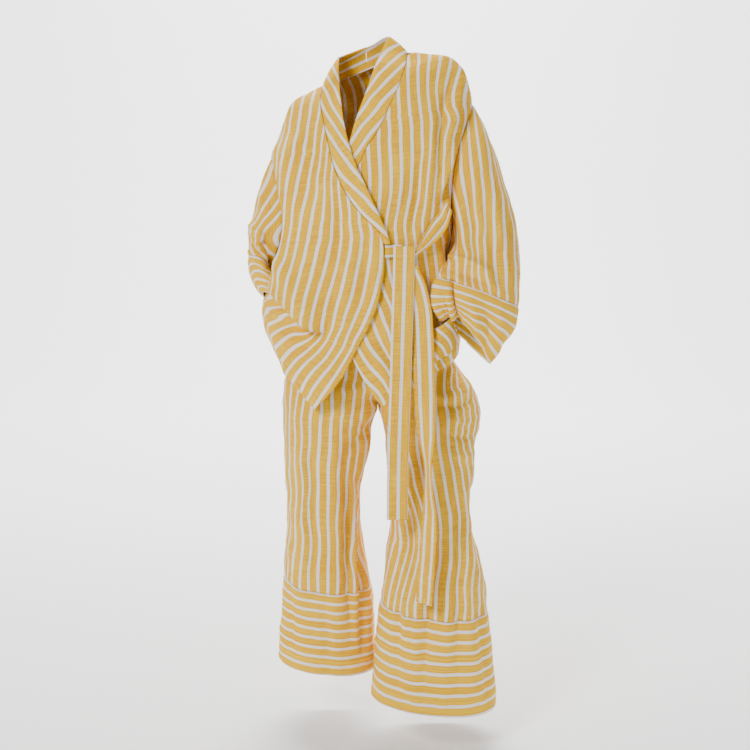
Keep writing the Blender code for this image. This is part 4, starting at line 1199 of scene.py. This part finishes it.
def sleeve_and_cuff(side, source, cuff_row, armhole, gather, folds, stripes, anchor, cuff_stripes):
    turn = np.linspace(0.0, 2 * math.pi, 2 * ARMHOLE_STEPS + 1)
    start_rows = np.linspace(-2.0, 0.0, START_ROWS)[:-1]
    upper_rows = np.linspace(0.0, cuff_row, SLEEVE_ROWS)
    cuff_rows = np.linspace(cuff_row, len(source["half"]) - 1, CUFF_ROWS)[1:]
    t = np.concatenate([upper_rows, cuff_rows])
    loops = clear_of_body(loop_points(source, *np.meshgrid(t, turn, indexing="ij")), CLEAR_OF_BODY)
    start = armhole_loop(armhole, side)[None]
    share = smooth(start_rows, [-2.0, -1.0, 0.0], [0.0, 0.3, 1.0])[:, None, None]
    grid = np.concatenate([start * (1 - share) + loops[:1] * share, loops])
    grid[3:30] = relaxed(grid[2:31], 8)[1:-1]
    centre = grid.mean(axis=1, keepdims=True)
    normals = outward(grid, centre, True)
    rows = np.concatenate([start_rows, t])[:, None]
    down = ease((rows - cuff_row) / (t[-1] - cuff_row))
    waves = np.sin(turn * CUFF_GATHERS) + 0.5 * np.sin(turn * 2.7 * CUFF_GATHERS + 1.0 + rows)
    grid = grid + normals * (waves * gather * ease(0.3 - np.cos(turn)) * down)[..., None]
    plain, plain_normals = grid, outward(grid, centre, True)
    from_seam = ease((rows + 2) / 2.5)
    folded = front_folds(grid, normals, folds)
    folded = back_folds(folded, normals, SLEEVE_BACK_FOLDS)
    folded = crumpled(folded, normals)
    grid = grid + (folded - grid) * from_seam[..., None]
    normals = outward(grid, centre, True)
    seam = len(start_rows) + len(upper_rows)
    sleeve, cuff = grid[:seam], grid[seam - 1 :]
    chart = StripeChart(stripes)
    counts = photo_counts(plain[:seam], plain_normals[:seam], sleeve, chart.at, anchor)
    piece = cloth(
        f"sleeve_{side}", sleeve, normals[:seam], counts, "linen_panel", sewn="top bottom",
    )
    along = (rows[seam - 1 :] - cuff_row) / (t[-1] - cuff_row)
    cuff = cuff + normals[seam - 1 :] * CUFF_STAND_OUT
    piece = cloth(
        f"cuff_{side}", cuff, normals[seam - 1 :], along * cuff_stripes * np.ones(turn.shape),
        "linen_trim", sewn="top", hems="bottom", wall=BAND_WALL,
    )


RIGHT_SLEEVE_STRIPES = stripe_places("""
0: 271,168 258,200 249,221
1: 279,181 261,213 251,230 250,245
2: 276,204 259,227 255,241 262,254 269,261
3: 273,221 264,232 262,242 268,250
""")
LEFT_SLEEVE_STRIPES = stripe_places("""
0: 503,210 505,240 506,270 507,300
-1: 490,165 494,195 495,240 495,270 499,300
-2: 475,120 479,150 482,180 484,210 484,240 485,270 492,300
-3: 468,120 470,150 473,180 475,210 477,240 478,255
-4: 461,150 463,180 468,210 471,232
-5: 450,180 458,210 463,240 467,255
-6: 448,205 452,225 455,240 456,255
""")
sleeve_and_cuff(
    "right", RIGHT_SLEEVE, RIGHT_CUFF_ROW, RIGHT_ARMHOLE, RIGHT_GATHER, RIGHT_SLEEVE_FOLDS,
    RIGHT_SLEEVE_STRIPES, 0.15, RIGHT_CUFF_STRIPES,
)
sleeve_and_cuff(
    "left", LEFT_SLEEVE, LEFT_CUFF_ROW, LEFT_ARMHOLE, LEFT_GATHER, LEFT_SLEEVE_FOLDS,
    LEFT_SLEEVE_STRIPES, 0.13, LEFT_CUFF_STRIPES,
)


# Trouser legs
# Wide straight legs in a front and a back panel each, sewn at the side, the inner leg and the
# middle. The stripes run down them, and long folds fall from the hips and the crotch.
LEG = "z outer inner middle front back"
RIGHT_LEG = table(LEG, """
-1258 -187 17 28 100 106
-1126 -181 12 26 100 106
-1075 -178 6 24 100 106
-1000 -174 -6 20 101 107
-946 -170 -14 16 103 108
-880 -171 -15 10 106 110
-785 -172 0 2 112 116
-715 -173 14 -4 118 122
-683 -173 22 -4 116 123
-640 -170 23 -2 112 124
-600 -158 22 -2 111 124
-540 -152 19 -3 109 115
-480 -146 15 -4 105 102
-400 -132 10 -6 100 86
""")
LEFT_LEG = table(LEG, """
-1304 274 11 -70 106 112
-1154 259 26 -68 104 110
-1100 253 31 -66 104 110
-1040 245 38 -62 103 110
-992 235 43 -58 102 110
-930 218 52 -52 102 110
-880 214 53 -46 104 112
-825 222 48 -36 108 116
-772 225 42 -26 112 120
-700 233 31 -12 118 125
-683 231 25 -7 117 124
-640 214 24 -2 112 124
-600 184 23 -2 111 124
-540 168 20 -3 109 115
-480 156 16 -4 105 102
-400 142 11 -6 100 86
""")
WAIST_Z = -0.400
CROTCH_Z = -0.683
CROTCH_FRONT_Z = -0.610
CROTCH_BACK_Z = -0.570
RIGHT_BAND_Z = -1.075
LEFT_BAND_Z = -1.100
LEG_TILT = -0.09
LEG_SQUARE = 2.25
LEG_TILT_SPAN = 0.45
HIP_ROWS, LEG_ROWS, LEG_COLUMNS = 64, 84, 66
RIGHT_LEG_FOLDS = table(FOLD, """
298 410 301 490 302 590 11 6
311 420 313 500 313 640 10 -5
334 430 336 510 338 660 16 6
345 460 347 520 350 620 7 -10
352 485 353 540 355 640 7 9
357 500 359 550 362 650 6 -9
364 510 366 560 369 660 8 8
379 402 360 418 338 428 10 7
379 412 362 434 344 455 8 -7
374 425 364 452 356 492 10 7
286 560 290 600 292 650 8 -5
325 590 326 630 327 668 11 -4
""")
LEFT_LEG_FOLDS = table(FOLD, """
470 384 454 396 437 397 9 8
474 398 455 407 434 400 7 -8
475 418 458 421 440 414 9 7
474 435 460 438 446 433 8 -7
472 452 461 456 449 451 9 6
462 350 456 366 444 380 8 5
425 425 432 480 441 545 13 8
416 440 424 490 431 548 8 -9
408 445 416 500 422 560 8 9
404 470 410 515 415 575 7 -9
400 485 404 540 408 690 8 8
395 520 397 590 398 690 7 -7
444 515 447 580 444 700 15 7
431 545 428 600 424 690 8 -8
463 495 467 560 474 690 12 7
455 490 457 560 458 690 8 -6
384 410 396 425 414 438 10 7
384 424 396 443 409 462 8 -7
415 590 415 640 414 700 8 6
480 610 484 650 488 700 8 -5
""")
LEG_BACK_FOLDS = table(FOLD, """
-120 -560 -128 -850 -130 -1200 18 9
-85 -600 -90 -850 -88 -1220 15 -9
-50 -620 -48 -880 -40 -1180 16 8
-6 -700 -18 -900 -10 -1200 12 -7
-20 -600 -60 -660 -110 -680 14 6
90 -580 98 -850 90 -1230 17 9
130 -600 142 -900 140 -1240 15 -9
175 -620 180 -880 195 -1240 18 9
216 -660 200 -860 232 -1200 13 -7
40 -600 80 -670 140 -690 14 6
58 -760 66 -950 54 -1150 11 -7
""")
RIGHT_LEG_STRIPES = stripe_places("""
-1: 290,417 290,451 290,468 289,530
0: 294,417 295,451 297,502 296,536 292,570
1: 301,417 300,460 301,519 301,570
2: 310,417 309,451 308,502 308,570
3: 321,417 319,451 318,502 318,570
4: 332,400 330,451 328,510 328,570
5: 343,400 340,451 338,502 338,570
6: 354,400 350,451 347,500 345,545 346,570
7: 363,400 358,434 352,500 351,530 350,553 353,570
8: 372,400 364,451 359,500 358,536 355,553 360,570
9: 380,405 362,553
""")
LEFT_LEG_STRIPES = stripe_places("""
-8: 392,545 386,580
-7: 401,545 393,580
-6: 384,420 409,545 400,580
-5: 391,420 411,515 414,545 406,580 401,605
-4: 399,420 405,470 416,515 419,545 413,580 407,605
-3: 408,425 408,455 414,485 423,515 427,545 420,580 415,605
-2: 417,410 418,455 424,485 430,515 433,545 428,580 425,605
-1: 424,365 425,410 429,455 434,485 439,515 440,545 438,575 436,605
0: 436,365 436,410 440,455 445,485 450,515 451,545 449,575 447,605
1: 446,372 444,395 448,418 448,440 453,470 460,515 460,560 457,605
2: 454,365 451,380 454,395 458,418 456,440 462,470 467,545 466,605
3: 456,380 460,395 464,420 462,440 466,458 469,475 473,575 472,605
4: 461,380 467,395 468,425 468,440 478,590 479,605
""")


def by_height(source, column, z):
    return smooth(z, source["z"], source[column])


def leg_points(source, z, angle, is_back):
    """Points of a leg: the angle runs from the outer seam to the inner one. Above the crotch it
    ends at the middle of the body instead."""
    outer, inner = by_height(source, "outer", z), by_height(source, "inner", z)
    start = CROTCH_BACK_Z if is_back else CROTCH_FRONT_Z
    open_to = math.pi / 2 * (1 + ease((start - z) / (start - CROTCH_Z)))
    turn = angle * open_to
    power = 2 / LEG_SQUARE
    half = (outer - inner) / (1 - powered(np.cos(open_to), power))
    x = outer - half * (1 - powered(np.cos(turn), power))
    depth = by_height(source, "back" if is_back else "front", z)
    deep = np.abs(np.sin(turn)) ** power * np.where(is_back, depth, -depth)
    tilt = LEG_TILT * ease((CROTCH_Z - z) / LEG_TILT_SPAN)
    middle = (outer + inner) / 2
    return np.stack([x, by_height(source, "middle", z) + deep, z + tilt * (x - middle)], axis=-1)


def worn_leg(grid, centre, folds, round_loop=False):
    grid = front_folds(grid, outward(grid, centre, round_loop), folds)
    grid = back_folds(grid, outward(grid, centre, round_loop), LEG_BACK_FOLDS)
    return crumpled(grid, outward(grid, centre, round_loop))


def leg_panel(side, source, band_z, is_back, folds, stripes, offset):
    upper = np.linspace(WAIST_Z, CROTCH_Z, HIP_ROWS)
    z = np.concatenate([upper, np.linspace(CROTCH_Z, band_z, LEG_ROWS)[1:]])
    share = np.linspace(0.0, 1.0, LEG_COLUMNS)
    plain = leg_points(source, *np.meshgrid(z, share, indexing="ij"), is_back)
    centre = np.array([plain[..., 0].mean(), source["middle"].mean(), -0.8])
    grid = worn_leg(plain, centre, folds)
    normals = outward(grid, centre)
    if is_back:
        counts = row_counts(plain, 0.45, offset)
    else:
        counts = photo_counts(plain, outward(plain, centre), grid, StripeChart(stripes).at)
    name = f"leg_{side}_{'back' if is_back else 'front'}"
    piece = cloth(name, grid, normals, counts, "linen_panel", sewn="top bottom first last")


for is_back in (False, True):
    leg_panel("right", RIGHT_LEG, RIGHT_BAND_Z, is_back, RIGHT_LEG_FOLDS, RIGHT_LEG_STRIPES, 0.0)
    leg_panel("left", LEFT_LEG, LEFT_BAND_Z, is_back, LEFT_LEG_FOLDS, LEFT_LEG_STRIPES, 0.5)


# Hem bands and waistband
# A deep band of linen with its stripes across is sewn round each leg, with ten white stripes from
# the seam to the hem. A plain band closes the trousers at the waist, under the jacket.
WAISTBAND_HEIGHT = 0.040
BAND_STRIPES = 9
BAND_STAND_OUT = 0.0012
BAND_ROWS, BAND_COLUMNS = 46, 72
WAISTBAND_ROWS, WAISTBAND_COLUMNS = 10, 40


def hem_band(side, source, band_z, folds):
    z = np.linspace(band_z, source["z"][0], BAND_ROWS)
    share = np.linspace(0.0, 1.0, BAND_COLUMNS)
    front = leg_points(source, *np.meshgrid(z, share, indexing="ij"), False)
    back = leg_points(source, *np.meshgrid(z, share[::-1], indexing="ij"), True)
    grid = np.concatenate([front, back[:, 1:]], axis=1)
    centre = grid.mean(axis=1, keepdims=True)
    grid = worn_leg(grid, centre, folds, True)
    normals = outward(grid, centre, True)
    grid = grid + normals * BAND_STAND_OUT
    down = edge_distances(grid)["top"]
    counts = down / down[-1].mean() * BAND_STRIPES
    piece = cloth(
        f"hem_band_{side}", grid, normals, counts, "linen_trim", sewn="top", hems="bottom",
        wall=BAND_WALL,
    )


def waistband():
    z = np.linspace(WAIST_Z, WAIST_Z + WAISTBAND_HEIGHT, WAISTBAND_ROWS)
    share = np.linspace(0.0, 1.0, WAISTBAND_COLUMNS)
    at_top = np.full(share.shape, WAIST_Z)
    right_front, left_front, left_back, right_back = (
        leg_points(source, at_top, share, is_back)
        for source, is_back in (
            (RIGHT_LEG, False), (LEFT_LEG, False), (LEFT_LEG, True), (RIGHT_LEG, True),
        )
    )
    loop = np.concatenate([right_front, left_front[::-1][1:], left_back[1:], right_back[::-1][1:]])
    grid = np.repeat(loop[None], len(z), axis=0)
    grid[..., 2] = z[:, None]
    normals = outward(grid, grid.mean(axis=1, keepdims=True), True)
    counts = (grid[..., 2] - WAIST_Z) / PITCH + 0.1
    piece = cloth(
        "waistband", grid, normals, counts, "linen_trim", sewn="top", hems="bottom", wall=BAND_WALL,
    )


hem_band("right", RIGHT_LEG, RIGHT_BAND_Z, RIGHT_LEG_FOLDS)
hem_band("left", LEFT_LEG, LEFT_BAND_Z, LEFT_LEG_FOLDS)
waistband()


# Tie
# A flat tube of the same linen. A stub leaves the right front's edge, a strip comes up from the
# left side, and two ends hang from where they meet. One end turns over on itself as it falls.
TIE_WIDTH = 0.042
TIE_WALL = 0.0020
STUB_HEIGHT = 0.024
STUB = table("x y", """
37.5 -164
44 -163
49 -160
53 -157.7
70 -157.7
""")
STUB_Z = -0.3465
SIDE_STRIP = table("x y z half_x half_z", """
92 -157.7 -353 2 -4
106 -154.5 -342 4 -7
122 -148 -324 7 -12
138 -142 -305 8 -16
152 -138 -287 6 -17
158 -138 -272 7 -12
162 -132 -262 6 -9
""")
HANGING = "z x turn y"
FRONT_END = table(HANGING, """
-880 62 0.05 -191
-760 63 -0.08 -193
-660 66 0.05 -193
-600 68 0.04 -189
-520 70 -0.04 -179
-420 73 0.03 -167.5
-337 75 0 -160
""")
BACK_END = table(HANGING, """
-1053 116 0.85 -200
-960 122 0.7 -200
-870 126 0.95 -198
-769 122 1.25 -196
-690 118 0.55 -194
-600 115 0.1 -184
-480 110 0.1 -167
-420 99 0.02 -162.5
-373 79 0 -160.4
""")
TIE_RIPPLE = 0.0012
SIDE_RIPPLE = 0.002
TIE_ROWS, TIE_COLUMNS = 150, 12


def hanging_tie(name, source, offset):
    z = np.linspace(source["z"][-1], source["z"][0], TIE_ROWS)
    turn = by_height(source, "turn", z)
    middle = np.stack([by_height(source, "x", z), by_height(source, "y", z), z], axis=-1)
    way = np.stack([np.cos(turn), -np.sin(turn), np.zeros(z.shape)], axis=-1)
    across = np.linspace(-TIE_WIDTH / 2, TIE_WIDTH / 2, TIE_COLUMNS)
    grid = middle[:, None] + way[:, None] * across[None, :, None]
    normals = normals_of(grid)
    ripple = np.sin(z * 42.0 + 1.0)[:, None] * across[None] / TIE_WIDTH * 2
    ripple = ripple + 0.6 * np.sin(z * 71.0)[:, None] * (1 - (across[None] / TIE_WIDTH * 2) ** 2)
    grid = grid + normals * (TIE_RIPPLE * ripple)[..., None]
    counts = (across / PITCH)[None] * np.ones((len(z), 1)) + offset
    piece = cloth(
        name, grid, normals_of(grid), counts, "linen_trim", hems="first last bottom", wall=TIE_WALL,
    )


def tie_stub():
    x, y = (smooth(np.linspace(0, 4, 20), np.arange(5), STUB[axis]) for axis in "xy")
    z = np.linspace(-STUB_HEIGHT / 2, STUB_HEIGHT / 2, TIE_COLUMNS)[:, None] + STUB_Z
    grid = np.stack([x + z * 0, y + z * 0, z + x * 0], axis=-1)
    counts = (z - STUB_Z) / PITCH + x * 0 + 0.5
    piece = cloth(
        "tie_stub", grid, normals_of(grid), counts, "linen_trim", hems="top bottom", wall=TIE_WALL,
    )


def tie_side():
    t = np.linspace(0, len(SIDE_STRIP["x"]) - 1, 60)[:, None]
    across = np.linspace(-1, 1, 14)[None, :]
    x = down_rows(SIDE_STRIP, "x", t) + down_rows(SIDE_STRIP, "half_x", t) * across
    z = down_rows(SIDE_STRIP, "z", t) + down_rows(SIDE_STRIP, "half_z", t) * across
    y = down_rows(SIDE_STRIP, "y", t) + across * 0
    grid = np.stack([x, y, z], axis=-1)
    grid[..., 1] -= SIDE_RIPPLE * np.sin(across * 5.0 + t * 0.6)
    counts = across * 0.95 - 0.45 + t * 0
    piece = cloth(
        "tie_side", grid, normals_of(grid), counts, "linen_trim", hems="first last", wall=TIE_WALL,
    )


tie_stub()
tie_side()
hanging_tie("tie_end_front", FRONT_END, -0.08)
hanging_tie("tie_end_back", BACK_END, 0.45)
